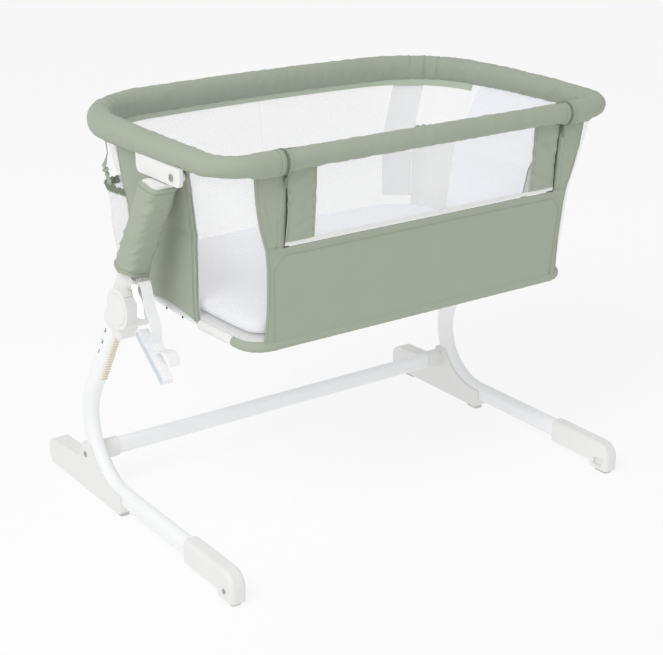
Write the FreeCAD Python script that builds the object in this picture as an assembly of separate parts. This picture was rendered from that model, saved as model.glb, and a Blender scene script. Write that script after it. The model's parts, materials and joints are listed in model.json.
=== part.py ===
import FreeCAD, Part
import math
import os
from FreeCAD import Placement, Rotation, Vector

# Bedside sleeper crib. Millimetres, +Z up, floor at Z = 0.
# X runs along the bassinet, -Y is the front (the side that meets the bed and drops down),
# +Y is the back. Pieces are drawn on the left (-X) side and mirrored to the right.

os.makedirs("parts", exist_ok=True)

# ---------------------------------------------------------------- driving dimensions
# Base
FOOT_LENGTH = 672.0            # toe tip to heel
LEG_SPACING = 846.0            # between the centre planes of the two legs
TUBE_DEEP = 38.0               # flat-oval leg tube, in the plane of the leg
TUBE_WIDE = 25.0               # flat-oval leg tube, across
TUBE_WALL = 2.0
SEAT_GAP = 0.1                 # moulded pieces over the tubes
TOE_RUN_HEIGHT = 39.5          # centre of the toe run above the floor
BEND_RADIUS = 118.0            # C bend, on the tube's centre line
BEND_OFFSET = 56.2             # where the toe run turns into the bend, along Y
LEAN = 32.3                    # upright's lean towards the front, degrees from vertical
SHOE_WALL = 3.6                # foot base moulding around the tube
SHOE_FRONT = 44.0              # front end of the foot base, along Y
SHOE_UNDERSIDE = 8.0
SHOE_CHAMFER = 8.0
SHOE_COLLAR_TOP = 104.0        # how high the foot base climbs up the bend
SHOE_LIP = 6.0                 # how far its inner edge stays below the tube's centre line
HEEL_HEIGHT = 64.0             # top of the foot base at its heel
HEEL_RADIUS = 22.0
HEEL_DROP = 4.0                # the heel's top slopes down to the back by this
HEEL_CHAMFER = 10.0
SADDLE_RUN = 30.0              # hollow between the foot base's collar and its heel
SADDLE_DEEP = 12.0
CAP_LENGTH = 153.0             # toe cap
CAP_WALL = 2.5
CAP_DROP_LENGTH = 47.0         # drop foot under the toe
CAP_RAKE = 4.0                 # slope of the drop foot's back face
CAP_DROP_UNDERSIDE = 7.0
CAP_NOSE_RADIUS = 30.0
CAP_EDGE_RADIUS = 8.0
CAP_POCKET = (22.0, 16.0, 5.0)  # recess on the inner face: long, high, deep
CAP_POCKET_RISE = 6.0          # recess above the drop foot's underside
PAD_SIZE = (18.0, 30.0)        # floor pad: across, along
PAD_CORNER = 4.0
PAD_HEEL_INSET = 50.0
PAD_SHOE_INSET = 18.0
PAD_TOE_INSET = 22.0
CROSSBAR_BEHIND = 5.8132       # its bolts behind the leg's bend
CROSSBAR_Z = 81.5
CROSSBAR_HIGH = 33.0
CROSSBAR_THICK = 18.0
CROSSBAR_WALL = 1.6
SOCKET_LENGTH = 34.0
SOCKET_WALL = 3.0
SCREW_RADIUS = 2.8
SCREW_HEAD_RADIUS = 5.0
SCREW_HEAD_HIGH = 1.6
TOE_SCREW_INSET = 24.0         # toe screw, back from the tip
TOE_SCREW_HEIGHT = 23.0
TUBE_TOE_GAP = 4.0             # leg tube's end behind the drop foot

# Height adjustment
STEP = 28.0                    # between height positions
TEETH_PER_STEP = 4
RACK_START = -85.0             # along the upright, from its reference point
RACK_TOP_INSET = 4.5           # rack's top below the leg tube's
RACK_WIDE = 12.0
RACK_BASE = 2.0
TOOTH_HIGH = 1.5
REFERENCE_HEIGHT = 330.0       # height of the upright's reference point

# Arm (along the upright from the reference point)
RUNNING_FIT = 0.06             # leg tube in the hub bore, all round
HUB_BOTTOM = 58.0
HUB_TOP = 200.0
HUB_WALL = 4.9
DRUM_ALONG = 129.0             # drum centre along the arm
DRUM_FORWARD = 28.0            # and in front of the tube's axis
DRUM_RADIUS = 36.0
DRUM_OUT = 27.0                # outer face, from the tube's centre plane
DRUM_IN = 21.0                 # inner face
LOBE_FORWARD = 47.0
LOBE_BOTTOM = 55.0
LOBE_TOP = 108.0
LOBE_WIDE = 28.0
LOBE_RADIUS = 16.0
RIM_WIDTH = 8.5                # cap ring round the push button
RIM_HIGH = 1.5
BUTTON_GAP = 0.4
BUTTON_THICK = 3.0
BUTTON_TRAVEL = 4.0
BUTTON_PROUD = 0.5             # button face in front of the ring
BUTTON_LIP = 1.5               # recess behind the ring, wider than its hole by this
POST_GAP = 0.5
POST_ABOVE_PAWL = 14.0         # button's post passes above the pawl
BUTTON_POST_RADIUS = 3.0
TAB_SIZE = (13.0, 12.0)        # press tab on top of the drum: across, round
TAB_PROUD = 1.5
TAB_INSET = 3.0                # from the ring
TAB_GAP = 0.35
TAB_DEEP = 5.0
TAB_TRAVEL = 2.0
PAWL_ALONG = 99.0
PAWL_SIZE = (11.0, 12.0, 15.0)  # across, along, forward
PAWL_CLEAR = 0.4               # nose to tooth tips
PAWL_GAP = 0.5                 # pawl in its guide
CHANNEL_GAP = 0.6              # rack in the hub's channel
SPRING_RADIUS = 4.0
SPRING_LENGTH = 7.0
SPRING_WALL = 1.0
TOUCH_GAP = 0.05               # between pieces that only touch
ARM_TUBE_WALL = 2.0
ARM_TUBE_GAP = 1.0             # leg tube inside the arm tube
ARM_TUBE_SEAT = 14.0           # arm tube held in the hub
HEAD_LENGTH = 29.8             # arm tube's top below the bracket, along the arm
TRAVEL_DOWN = 140.0            # lowest height and lowest incline together
TRAVEL_SPARE = 3.5
COVER_BOTTOM = 192.0
COVER_TOP_INSET = 2.0          # sleeve's top below the arm tube's
COVER_OUT = 27.0               # outer face of the fabric sleeve, from the tube's centre plane
COVER_IN = 19.0
COVER_BACK = 24.5
COVER_FRONT = 27.0
COVER_HEM_FULL = 5.0           # the sleeve hangs fuller in front at its hem
COVER_HEM_HIGH = 12.0
COVER_CORNER = 11.0
COVER_GAP = 0.5                # sleeve to the tube and the hub inside it
HEAD_PLUG = 12.0
TONGUE_ROOT = 12.0
TONGUE_THICK = 8.0
HEAD_GAP = 2.2                 # arm head under the rail bracket
HEAD_INSET = 2.0               # arm head inside the sleeve's outline

# Bassinet
RAIL_HEIGHT = 717.0            # centre of the padded rail
RAIL_INSET = 18.0              # rail centre line inside the leg's, where the end's bow starts
RAIL_AHEAD = 113.0479          # rail's front before the pivot
RAIL_DEPTH = 535.0
RAIL_FRONT_CORNER = 58.0
RAIL_BACK_CORNER = 170.0
RAIL_PAD_RADIUS = 20.0
RAIL_TUBE_RADIUS = 11.0
RAIL_TUBE_WALL = 1.5
PAD_GAP = 0.2                  # padding to tube
FLOOR_DROP = 312.0             # lower edge of the fabric below the rail
FLOOR_INSET = 78.0             # end cloth's lower edge inside the leg
SILL_INSET = 62.0              # and at the sill: the ends are drawn in below the rail
FLOOR_FRONT_INSET = 23.5       # lower edge inside the rail, at the front and the back
FLOOR_BACK_INSET = 34.5
FLOOR_FRONT_CORNER = 45.0
FLOOR_BACK_CORNER = 120.0
END_BOW = 4.1                  # half angle of the bowed ends, degrees
BACK_BOW = 5.0                 # half angle of the bowed back, degrees
WALL_TOP_GAP = 0.6             # fabric's top edge below the padding
WALL_INSET = 2.0               # and inside the rail's centre line
PANEL_THICK = 3.0
MESH_THICK = 2.0
SILL_DROP = 145.0              # top of the lower front panel below the rail
SILL_GAP = 3.0                 # sill to the drop side's hem
DROP_INSET = 119.0             # zips inside the rail's ends
DROP_STRIP_WIDE = 56.0         # cloth beside the window
HEM_HIGH = 6.0
ZIP_GAP = 3.0
SPLIT_OUT = 8.0                # padding parts this far outside the zips
RAIL_JOINT_LAP = 24.0          # stub tubes that the front rail's open ends hook over
RAIL_JOINT_GAP = 1.0
STUB_RADIUS = 8.5
STUB_PLUG = 20.0               # and how far they sit in the rail tube
HALF_SHELL_GAP = 0.3
RING_RADIUS = 8.0
RING_WALL = 1.2
RING_GAP = 0.3
SHEET_THICK = 1.2
BOARD_THICK = 4.0
MATTRESS_THICK = 34.0
MATTRESS_CROWN = 3.0
MATTRESS_EDGE = 7.0
CROWN_INSET = 30.0             # crown starts this far inside the pad's edge
SHEET_INSET = 4.0
BOARD_INSET = 6.0
MATTRESS_GAP = 4.0
POCKET_RISE = 28.0             # storage pocket's mouth above the sill
POCKET_FLARE = 24.0            # how far the pocket's mouth stands off the back
POCKET_THICK = 2.0
BAND_HIGH = 12.0
BAND_THICK = 4.0
STRIP_BAND = (0.30, 0.62)      # back corner strips, share of the corner's turn
STRIP_THICK = 1.5
STRIP_RISE = 55.0              # their lower ends above the fabric's lower edge
ARCH_RISE = 15.0               # lower edge of the end panels
POCKET_LOW_RISE = 3.0
POCKET_LAP = 0.02              # pocket sewn this share behind the end panel
POCKET_TURN = 0.3              # share of the back corner where it has its full depth
POCKET_START_SHARE = 0.35      # share of its full depth that it has where the corner starts
POCKET_SEAM_GAP = 0.4
PIVOT_AHEAD = 34.15            # pivot in front of the arm's line
PIVOT_DROP = 31.0              # and below the rail
BRACKET_AHEAD = 26.5           # bracket's front end before the pivot
BRACKET_BEHIND = 114.5         # and its back end behind it
SADDLE_BEHIND = 37.5           # inner part of the bracket starts this far behind the pivot
TONGUE_ROOM_BEHIND = 77.5      # and the tongue's pocket in it ends
BRACKET_CORNER = 11.0
BRACKET_DROP = 44.0            # its lower edge below the rail
BRACKET_TOP_DROP = 13.0
BRACKET_OUT = 5.5              # outer face outside the leg's centre plane
BRACKET_THICK = 31.0
BRACKET_CHEEK = 6.0
CHEEK_GAP = 6.0
PIVOT_RADIUS = 4.0
PIVOT_GAP = 1.4
PIVOT_HEAD_RADIUS = 6.0
PIVOT_HEAD_HIGH = 1.6
PIN_END = 3.0                  # pin past the tongue
LUG_RADIUS = 9.0

# Tether
STRAP_WIDE = 20.0
STRAP_THICK = 2.6
STRAP_IN = 9.0                 # middle of the strap, from the outer face of the hub's lobe
PLATE_LENGTH = 104.0
PLATE_THICK = 11.0
PLATE_SLOPE = 37.0
PLATE_Y = -90.0
PLATE_Z = 361.0
PLATE_GAP = 0.3
PLATE_INSET = 1.0              # plate narrower than the strap, each side
# Strap down from its screw, from the middle of the plate: towards the back, and up
STRAP_DROP = ((20.0, 123.0), (6.0, 83.0), (-9.0, 60.0), (-13.0, 28.0), (-28.0, 17.0),
              (-47.0, 11.0), (-55.0, -6.0), (-43.0, -23.5))
STRAP_TAIL = ((-26.0, 17.5), (-44.0, 23.0), (-60.0, 25.0), (-67.0, 17.0), (-71.0, 5.0))
STRAP_START = (-6.0, 3.0)      # first point, from the screw
TETHER_ALONG = 190.0
TETHER_FORWARD = 33.0
TETHER_LUG = (9.0, 6.0)        # lug for the tether screw: radius, thickness
TETHER_SCREW = (5.5, 2.0)      # its head: radius, height
RECESS_RADIUS = 2.0            # hex recess of the screws

# Zips
PULL_SIZE = (4.0, 1.2, 15.0)
SLIDER_SIZE = (6.0, 4.0, 7.0)
PULL_GAP = 0.4
PULL_LOW = 2.0                 # top of the pull below the slider's top
ZIP_LOW = 6.0                  # slider below the top edge of the fabric
ZIP_ASIDE = 1.0                # slider beside the zip line
FABRIC_GAP = 0.2
CUT_OVER = 1.0                 # how far a cut runs past the piece

# ---------------------------------------------------------------- places worked out from them
HALF_FOOT = FOOT_LENGTH / 2
LEG_X = -LEG_SPACING / 2
LEAN_RAD = math.radians(LEAN)
UP_ARM = Vector(0, -math.sin(LEAN_RAD), math.cos(LEAN_RAD))
FORWARD_ARM = Vector(0, -math.cos(LEAN_RAD), -math.sin(LEAN_RAD))
BEND_CENTRE = Vector(LEG_X, BEND_OFFSET, TOE_RUN_HEIGHT + BEND_RADIUS)
BEND_TURN = 90.0 + LEAN
X_AXIS = Vector(1, 0, 0)
Y_AXIS = Vector(0, 1, 0)
Z_AXIS = Vector(0, 0, 1)
ROUND = math.sqrt(0.5)         # middle of a quarter round


def bend_point(turn, radius=BEND_RADIUS):
    """Point on the leg's bend, turn in degrees from straight down."""
    a = math.radians(turn)
    return BEND_CENTRE + Vector(0, radius * math.sin(a), -radius * math.cos(a))


BEND_END = bend_point(BEND_TURN)
BEND_END_ALONG = (BEND_END.z - REFERENCE_HEIGHT) / UP_ARM.z
REFERENCE = BEND_END - UP_ARM * BEND_END_ALONG

CROSSBAR_Y = BEND_CENTRE.y + CROSSBAR_BEHIND + math.sqrt(
    (BEND_RADIUS + TUBE_DEEP / 2) ** 2 - (BEND_CENTRE.z - CROSSBAR_Z) ** 2)

# The bassinet hangs from the rail, and the rail from the arms
RAIL_HALF_LENGTH = LEG_SPACING / 2 - RAIL_INSET
PIVOT_Z = RAIL_HEIGHT - PIVOT_DROP
PIVOT_Y = REFERENCE.y - math.tan(LEAN_RAD) * (PIVOT_Z - REFERENCE_HEIGHT) - PIVOT_AHEAD
RAIL_FRONT = PIVOT_Y - RAIL_AHEAD
RAIL_BACK = RAIL_FRONT + RAIL_DEPTH
FLOOR_LEVEL = RAIL_HEIGHT - FLOOR_DROP
FLOOR_HALF_LENGTH = LEG_SPACING / 2 - FLOOR_INSET
FLOOR_FRONT = RAIL_FRONT + FLOOR_FRONT_INSET
FLOOR_BACK = RAIL_BACK - FLOOR_BACK_INSET
SILL_HEIGHT = RAIL_HEIGHT - SILL_DROP
SILL_HALF_LENGTH = LEG_SPACING / 2 - SILL_INSET
DROP_HALF_WIDTH = RAIL_HALF_LENGTH - DROP_INSET
WINDOW_HALF_WIDTH = DROP_HALF_WIDTH - DROP_STRIP_WIDE
POCKET_TOP = SILL_HEIGHT + POCKET_RISE
POCKET_LOW = FLOOR_LEVEL + POCKET_LOW_RISE
STRIP_LOW = FLOOR_LEVEL + STRIP_RISE
BRACKET_FRONT = PIVOT_Y - BRACKET_AHEAD
BRACKET_BACK = PIVOT_Y + BRACKET_BEHIND
SADDLE_FRONT = PIVOT_Y + SADDLE_BEHIND
SADDLE_BACK = PIVOT_Y + TONGUE_ROOM_BEHIND
BRACKET_BOTTOM = RAIL_HEIGHT - BRACKET_DROP
BRACKET_TOP = RAIL_HEIGHT - BRACKET_TOP_DROP
BRACKET_OUTER = LEG_SPACING / 2 + BRACKET_OUT
ARM_TUBE_TOP = (BRACKET_BOTTOM - REFERENCE_HEIGHT) / UP_ARM.z - HEAD_LENGTH
COVER_TOP = ARM_TUBE_TOP - COVER_TOP_INSET
LEG_TOP = ARM_TUBE_TOP - HEAD_PLUG - TRAVEL_DOWN - TRAVEL_SPARE
UPRIGHT_LENGTH = LEG_TOP - BEND_END_ALONG
RACK_LENGTH = LEG_TOP - RACK_TOP_INSET - RACK_START


def arm_point(along, forward=0.0, across=0.0):
    """Point on the left arm: along the upright, in front of it, and towards +X."""
    return REFERENCE + UP_ARM * along + FORWARD_ARM * forward + X_AXIS * across


# ---------------------------------------------------------------- helpers
def save(name, *solids):
    shape = solids[0] if len(solids) == 1 else Part.makeCompound(list(solids))
    shape.exportStep("parts/" + name + ".step")


def mirrored(shape):
    return shape.mirror(Vector(0, 0, 0), X_AXIS)


def save_pair(name, shape):
    save("left_" + name, shape)
    save("right_" + name, mirrored(shape))


def line(a, b):
    return Part.LineSegment(a, b).toShape()


def arc(a, b, c):
    return Part.Arc(a, b, c).toShape()


def oval_wire(centre, long_way, short_way, long_size, short_size):
    """Flat-oval outline: two straight sides and two half rounds."""
    r = short_size / 2
    h = long_size / 2 - r
    a = [centre + long_way * h + short_way * r, centre - long_way * h + short_way * r]
    b = [centre - long_way * h - short_way * r, centre + long_way * h - short_way * r]
    return Part.Wire([
        line(a[0], a[1]),
        arc(a[1], centre - long_way * (h + r), b[0]),
        line(b[0], b[1]),
        arc(b[1], centre + long_way * (h + r), a[0]),
    ])


def extrude(wire, way):
    return Part.Face(wire).extrude(way)


def polygon(points):
    return Part.makePolygon(points + points[:1])


def sweep(path, profile):
    return Part.Wire(path).makePipeShell([profile], True, False)


def rod(start, way, radius, length):
    return Part.makeCylinder(radius, length, start, way)


def block(x0, x1, y0, y1, z0, z1):
    return Part.makeBox(x1 - x0, y1 - y0, z1 - z0, Vector(x0, y0, z0))


def arm_block(across, along, forward):
    """Box in the arm's own directions, each given as (low, high)."""
    corner = arm_point(along[0], forward[1], across[0])
    box = Part.makeBox(across[1] - across[0], forward[1] - forward[0], along[1] - along[0])
    box.Placement = Placement(corner, Rotation(X_AXIS, LEAN))
    return box


def arm_oval(along0, along1, deep, wide, forward=0.0):
    wire = oval_wire(arm_point(along0, forward), FORWARD_ARM, X_AXIS, deep, wide)
    return extrude(wire, UP_ARM * (along1 - along0))


# ---------------------------------------------------------------- base
def leg_path(y_start):
    start = Vector(LEG_X, y_start, TOE_RUN_HEIGHT)
    turn_in = Vector(LEG_X, BEND_OFFSET, TOE_RUN_HEIGHT)
    top = BEND_END + UP_ARM * UPRIGHT_LENGTH
    return [
        line(start, turn_in),
        arc(turn_in, bend_point(BEND_TURN / 2), BEND_END),
        line(BEND_END, top),
    ]


def leg_solid(grow, y_start):
    start = Vector(LEG_X, y_start, TOE_RUN_HEIGHT)
    wire = oval_wire(start, Z_AXIS, X_AXIS, TUBE_DEEP + 2 * grow, TUBE_WIDE + 2 * grow)
    return sweep(leg_path(y_start), wire)


TUBE_TOE_END = -HALF_FOOT + CAP_DROP_LENGTH + TUBE_TOE_GAP

def leg_tube():
    return leg_solid(0, TUBE_TOE_END).cut(leg_solid(-TUBE_WALL, TUBE_TOE_END - 1))


SHOE_HALF_WIDTH = TUBE_WIDE / 2 + SHOE_WALL


def foot_base():
    x = LEG_X - SHOE_HALF_WIDTH
    inner = BEND_RADIUS - SHOE_LIP
    outer = BEND_RADIUS + TUBE_DEEP / 2 + SHOE_WALL
    collar_turn = math.degrees(math.acos((BEND_CENTRE.z - SHOE_COLLAR_TOP) / inner))
    back_turn = math.degrees(math.acos((BEND_CENTRE.z - SHOE_COLLAR_TOP) / outer))

    def at(y, z):
        return Vector(x, y, z)

    def on(turn, radius):
        p = bend_point(turn, radius)
        return Vector(x, p.y, p.z)

    back_top = on(back_turn, outer)
    heel_top = at(back_top.y + SADDLE_RUN, HEEL_HEIGHT)
    saddle = at(back_top.y + SADDLE_RUN * 0.3, HEEL_HEIGHT + (back_top.z - HEEL_HEIGHT) * 0.5 - SADDLE_DEEP * 0.4)
    end_height = HEEL_HEIGHT - HEEL_DROP
    heel_back = at(HALF_FOOT - HEEL_RADIUS, end_height)
    tip = at(HALF_FOOT, end_height - HEEL_RADIUS)
    low = at(HALF_FOOT, SHOE_UNDERSIDE + HEEL_CHAMFER)
    low_end = at(HALF_FOOT - HEEL_CHAMFER, SHOE_UNDERSIDE)
    round_mid = at(HALF_FOOT - HEEL_RADIUS * (1 - ROUND), end_height - HEEL_RADIUS * (1 - ROUND))
    front_low = at(SHOE_FRONT + SHOE_CHAMFER, SHOE_UNDERSIDE)
    front_mid = at(SHOE_FRONT, SHOE_UNDERSIDE + SHOE_CHAMFER)
    start_turn = math.degrees(math.asin((SHOE_FRONT - BEND_OFFSET) / inner))
    front_top = on(start_turn, inner)
    profile = Part.Wire([
        line(front_low, front_mid),
        line(front_mid, front_top),
        arc(front_top, on((start_turn + collar_turn) / 2, inner), on(collar_turn, inner)),
        line(on(collar_turn, inner), back_top),
        arc(back_top, saddle, heel_top),
        line(heel_top, heel_back),
        arc(heel_back, round_mid, tip),
        line(tip, low),
        line(low, low_end),
        line(low_end, front_low),
    ])
    body = extrude(profile, X_AXIS * (2 * SHOE_HALF_WIDTH))
    body = body.cut(leg_solid(SEAT_GAP, TUBE_TOE_END))
    bolt = rod(Vector(x - CUT_OVER, CROSSBAR_Y, CROSSBAR_Z), X_AXIS, SCREW_RADIUS,
               2 * (SHOE_HALF_WIDTH + CUT_OVER))
    return body.cut(bolt)


def toe_oval(y_start, y_end, grow):
    """Straight length of the leg tube's section along the toe run."""
    centre = Vector(LEG_X, y_start, TOE_RUN_HEIGHT)
    wire = oval_wire(centre, Z_AXIS, X_AXIS, TUBE_DEEP + 2 * grow, TUBE_WIDE + 2 * grow)
    return extrude(wire, Y_AXIS * (y_end - y_start))


def toe_cap():
    half = TUBE_WIDE / 2 + CAP_WALL
    tip = -HALF_FOOT
    back = tip + CAP_LENGTH
    drop = tip + CAP_DROP_LENGTH
    top = TOE_RUN_HEIGHT + TUBE_DEEP / 2 + CAP_WALL
    under = TOE_RUN_HEIGHT - TUBE_DEEP / 2 - CAP_WALL
    nose = CAP_NOSE_RADIUS

    def at(y, z):
        return Vector(LEG_X - half, y, z)

    profile = Part.Wire([
        line(at(back, under), at(back, top)),
        line(at(back, top), at(tip + nose, top)),
        arc(at(tip + nose, top), at(tip + nose * (1 - ROUND), top - nose * (1 - ROUND)), at(tip, top - nose)),
        line(at(tip, top - nose), at(tip, CAP_DROP_UNDERSIDE)),
        line(at(tip, CAP_DROP_UNDERSIDE), at(drop - CAP_RAKE, CAP_DROP_UNDERSIDE)),
        line(at(drop - CAP_RAKE, CAP_DROP_UNDERSIDE), at(drop, under)),
        line(at(drop, under), at(back, under)),
    ])
    body = extrude(profile, X_AXIS * (2 * half))
    top_edges = [
        e for e in body.Edges
        if abs(e.Vertexes[0].X - e.Vertexes[1].X) < 1 and min(v.Z for v in e.Vertexes) > top - 1
    ]
    body = body.makeFillet(CAP_EDGE_RADIUS, top_edges)
    body = body.cut(toe_oval(TUBE_TOE_END, back + 1, SEAT_GAP))
    long, high, deep = CAP_POCKET
    y = tip + TOE_SCREW_INSET
    low = CAP_DROP_UNDERSIDE + CAP_POCKET_RISE
    return body.cut(block(LEG_X + half - deep, LEG_X + half + 1, y - long / 2, y + long / 2, low, low + high))


def floor_pads():
    wide, long = PAD_SIZE
    pads = []
    spots = (
        (HALF_FOOT - PAD_HEEL_INSET, SHOE_UNDERSIDE),
        (SHOE_FRONT + SHOE_CHAMFER + PAD_SHOE_INSET, SHOE_UNDERSIDE),
        (-HALF_FOOT + PAD_TOE_INSET, CAP_DROP_UNDERSIDE),
    )
    for y, high in spots:
        pad = block(LEG_X - wide / 2, LEG_X + wide / 2, y - long / 2, y + long / 2, 0, high)
        upright = [e for e in pad.Edges if abs(e.Vertexes[0].Z - e.Vertexes[1].Z) > 1]
        pad = pad.makeFillet(PAD_CORNER, upright)
        pads += [pad, mirrored(pad)]
    return pads


def base_screws():
    """Crossbar bolts from the outer side, and toe screws."""
    screws = []
    shoe_x = LEG_X - SHOE_HALF_WIDTH
    bolt_long = 2 * SHOE_HALF_WIDTH + SOCKET_LENGTH / 4
    bolt = rod(Vector(shoe_x, CROSSBAR_Y, CROSSBAR_Z), X_AXIS, SCREW_RADIUS - 0.1, bolt_long)
    head = rod(Vector(shoe_x - SCREW_HEAD_HIGH, CROSSBAR_Y, CROSSBAR_Z), X_AXIS,
               SCREW_HEAD_RADIUS, SCREW_HEAD_HIGH)
    screws.append(bolt.fuse(head))
    cap_x = LEG_X - TUBE_WIDE / 2 - CAP_WALL
    y = -HALF_FOOT + TOE_SCREW_INSET
    screws.append(rod(Vector(cap_x - SCREW_HEAD_HIGH, y, TOE_SCREW_HEIGHT), X_AXIS,
                      SCREW_HEAD_RADIUS - 1, SCREW_HEAD_HIGH))
    return screws + [mirrored(s) for s in screws]


SOCKET_START = LEG_X + SHOE_HALF_WIDTH


def crossbar_oval(x, length, grow):
    centre = Vector(x, CROSSBAR_Y, CROSSBAR_Z)
    wire = oval_wire(centre, Z_AXIS, Y_AXIS, CROSSBAR_HIGH + 2 * grow, CROSSBAR_THICK + 2 * grow)
    return extrude(wire, X_AXIS * length)


def crossbar_socket():
    body = crossbar_oval(SOCKET_START, SOCKET_LENGTH, SOCKET_WALL)
    body = body.cut(crossbar_oval(SOCKET_START + SOCKET_LENGTH / 3, SOCKET_LENGTH, SEAT_GAP))
    bolt = rod(Vector(SOCKET_START - CUT_OVER, CROSSBAR_Y, CROSSBAR_Z), X_AXIS, SCREW_RADIUS,
               SOCKET_LENGTH / 3 + 2 * CUT_OVER)
    return body.cut(bolt)


def crossbar():
    start = SOCKET_START + SOCKET_LENGTH / 3
    tube = crossbar_oval(start, -2 * start, 0)
    return tube.cut(crossbar_oval(start - 1, -2 * start + 2, -CROSSBAR_WALL))


def height_rack():
    """Ribbed strip on the front of the upright; its ribs share out one height step."""
    face = TUBE_DEEP / 2
    half = RACK_WIDE / 2
    strip = arm_block((-half, half), (RACK_START, RACK_START + RACK_LENGTH), (face - 1.5, face + RACK_BASE))
    strip = strip.cut(arm_oval(RACK_START - 1, RACK_START + RACK_LENGTH + 1, TUBE_DEEP, TUBE_WIDE))
    pitch = STEP / TEETH_PER_STEP
    count = int(RACK_LENGTH / pitch)
    teeth = []
    for i in range(count):
        low = RACK_START + (i + 0.25) * pitch
        teeth.append(arm_block((-half, half), (low, low + pitch / 2),
                               (face + RACK_BASE / 2, face + RACK_BASE + TOOTH_HIGH)))
    return strip.fuse(teeth).removeSplitter()


# ---------------------------------------------------------------- sliding arm
HUB_DEEP = TUBE_DEEP + 2 * HUB_WALL
HUB_WIDE = TUBE_WIDE + 2 * HUB_WALL
ARM_DEEP = TUBE_DEEP + 2 * (ARM_TUBE_GAP + ARM_TUBE_WALL)
ARM_WIDE = TUBE_WIDE + 2 * (ARM_TUBE_GAP + ARM_TUBE_WALL)
RACK_FRONT = TUBE_DEEP / 2 + RACK_BASE + TOOTH_HIGH
CHANNEL_FRONT = RACK_FRONT + CHANNEL_GAP
DRUM_CENTRE = arm_point(DRUM_ALONG, DRUM_FORWARD)
CUP_RADIUS = DRUM_RADIUS - RIM_WIDTH
POST_FORWARD = CHANNEL_FRONT + PAWL_SIZE[2] * 0.6
CUP_DEPTH = RIM_HIGH + BUTTON_THICK + BUTTON_TRAVEL + POST_GAP


def drum_rod(radius, across0, across1):
    return rod(DRUM_CENTRE + X_AXIS * across0, X_AXIS, radius, across1 - across0)


def pawl_room():
    wide, high, deep = PAWL_SIZE
    return arm_block((-wide / 2 - PAWL_GAP, wide / 2 + PAWL_GAP),
                     (PAWL_ALONG - high / 2 - PAWL_GAP, PAWL_ALONG + high / 2 + PAWL_GAP),
                     (CHANNEL_FRONT - 2, RACK_FRONT + PAWL_CLEAR + deep + SPRING_LENGTH))


def post_centre(across):
    return arm_point(PAWL_ALONG + POST_ABOVE_PAWL, POST_FORWARD, across)


def post_hole():
    return rod(post_centre(-DRUM_OUT), X_AXIS, BUTTON_POST_RADIUS + POST_GAP, DRUM_OUT + BUTTON_TRAVEL)


def latch_lobe(grow):
    half = LOBE_WIDE / 2 + grow
    lobe = arm_block((-half, half), (LOBE_BOTTOM, LOBE_TOP + grow), (0, LOBE_FORWARD + grow))
    low_front = [
        e for e in lobe.Edges
        if (e.CenterOfMass - arm_point(LOBE_BOTTOM, LOBE_FORWARD + grow)).Length < 0.01
    ]
    return lobe.makeFillet(LOBE_RADIUS, low_front)


def hub_drum():
    """Round part of the hub: it fits round the housing, and carries the button and the tab."""
    drum = drum_rod(DRUM_RADIUS, -DRUM_OUT + RIM_HIGH, DRUM_IN)
    housing = arm_oval(HUB_BOTTOM, HUB_TOP, HUB_DEEP + 2 * TOUCH_GAP, HUB_WIDE + 2 * TOUCH_GAP)
    cup = drum_rod(CUP_RADIUS + BUTTON_LIP, -DRUM_OUT + RIM_HIGH, -DRUM_OUT + CUP_DEPTH)
    return drum.cut([housing, latch_lobe(TOUCH_GAP), cup, post_hole(), tab_room()]).removeSplitter()


def hub_housing():
    """Moulded sleeve on the leg tube, with the latch lobe and the lug for the tether."""
    sleeve = arm_oval(HUB_BOTTOM, HUB_TOP, HUB_DEEP, HUB_WIDE)
    lug_radius, lug_thick = TETHER_LUG
    lug = rod(arm_point(TETHER_ALONG, TETHER_FORWARD, -LOBE_WIDE / 2), X_AXIS, lug_radius, lug_thick)
    web = arm_block((-LOBE_WIDE / 2, -LOBE_WIDE / 2 + lug_thick), (TETHER_ALONG - lug_radius, TETHER_ALONG + lug_radius),
                    (TUBE_DEEP / 2, TETHER_FORWARD))
    body = sleeve.fuse([latch_lobe(0), lug, web])
    bore = arm_oval(LOBE_BOTTOM - 1, HUB_TOP + 1, TUBE_DEEP + 2 * RUNNING_FIT, TUBE_WIDE + 2 * RUNNING_FIT)
    channel = arm_block((-RACK_WIDE / 2 - CHANNEL_GAP, RACK_WIDE / 2 + CHANNEL_GAP), (LOBE_BOTTOM - 1, HUB_TOP + 1),
                        (0, CHANNEL_FRONT))
    seat = arm_oval(HUB_TOP - ARM_TUBE_SEAT, HUB_TOP + 1, ARM_DEEP + 2 * SEAT_GAP, ARM_WIDE + 2 * SEAT_GAP)
    return body.cut([bore, channel, seat, post_hole(), pawl_room()]).removeSplitter()


def rim_cap():
    ring = drum_rod(DRUM_RADIUS, -DRUM_OUT, -DRUM_OUT + RIM_HIGH)
    return ring.cut(drum_rod(CUP_RADIUS, -DRUM_OUT - 1, -DRUM_OUT + RIM_HIGH + 1))


def push_button():
    front = -DRUM_OUT - BUTTON_PROUD
    face = drum_rod(CUP_RADIUS - BUTTON_GAP, front, front + BUTTON_THICK)
    post_long = DRUM_OUT - BUTTON_THICK - POST_GAP
    post = rod(post_centre(front + BUTTON_THICK - 1), X_AXIS, BUTTON_POST_RADIUS, post_long)
    return face.fuse(post)


TAB_ACROSS = (-DRUM_OUT + RIM_HIGH + TAB_INSET, -DRUM_OUT + RIM_HIGH + TAB_INSET + TAB_SIZE[0])


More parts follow.
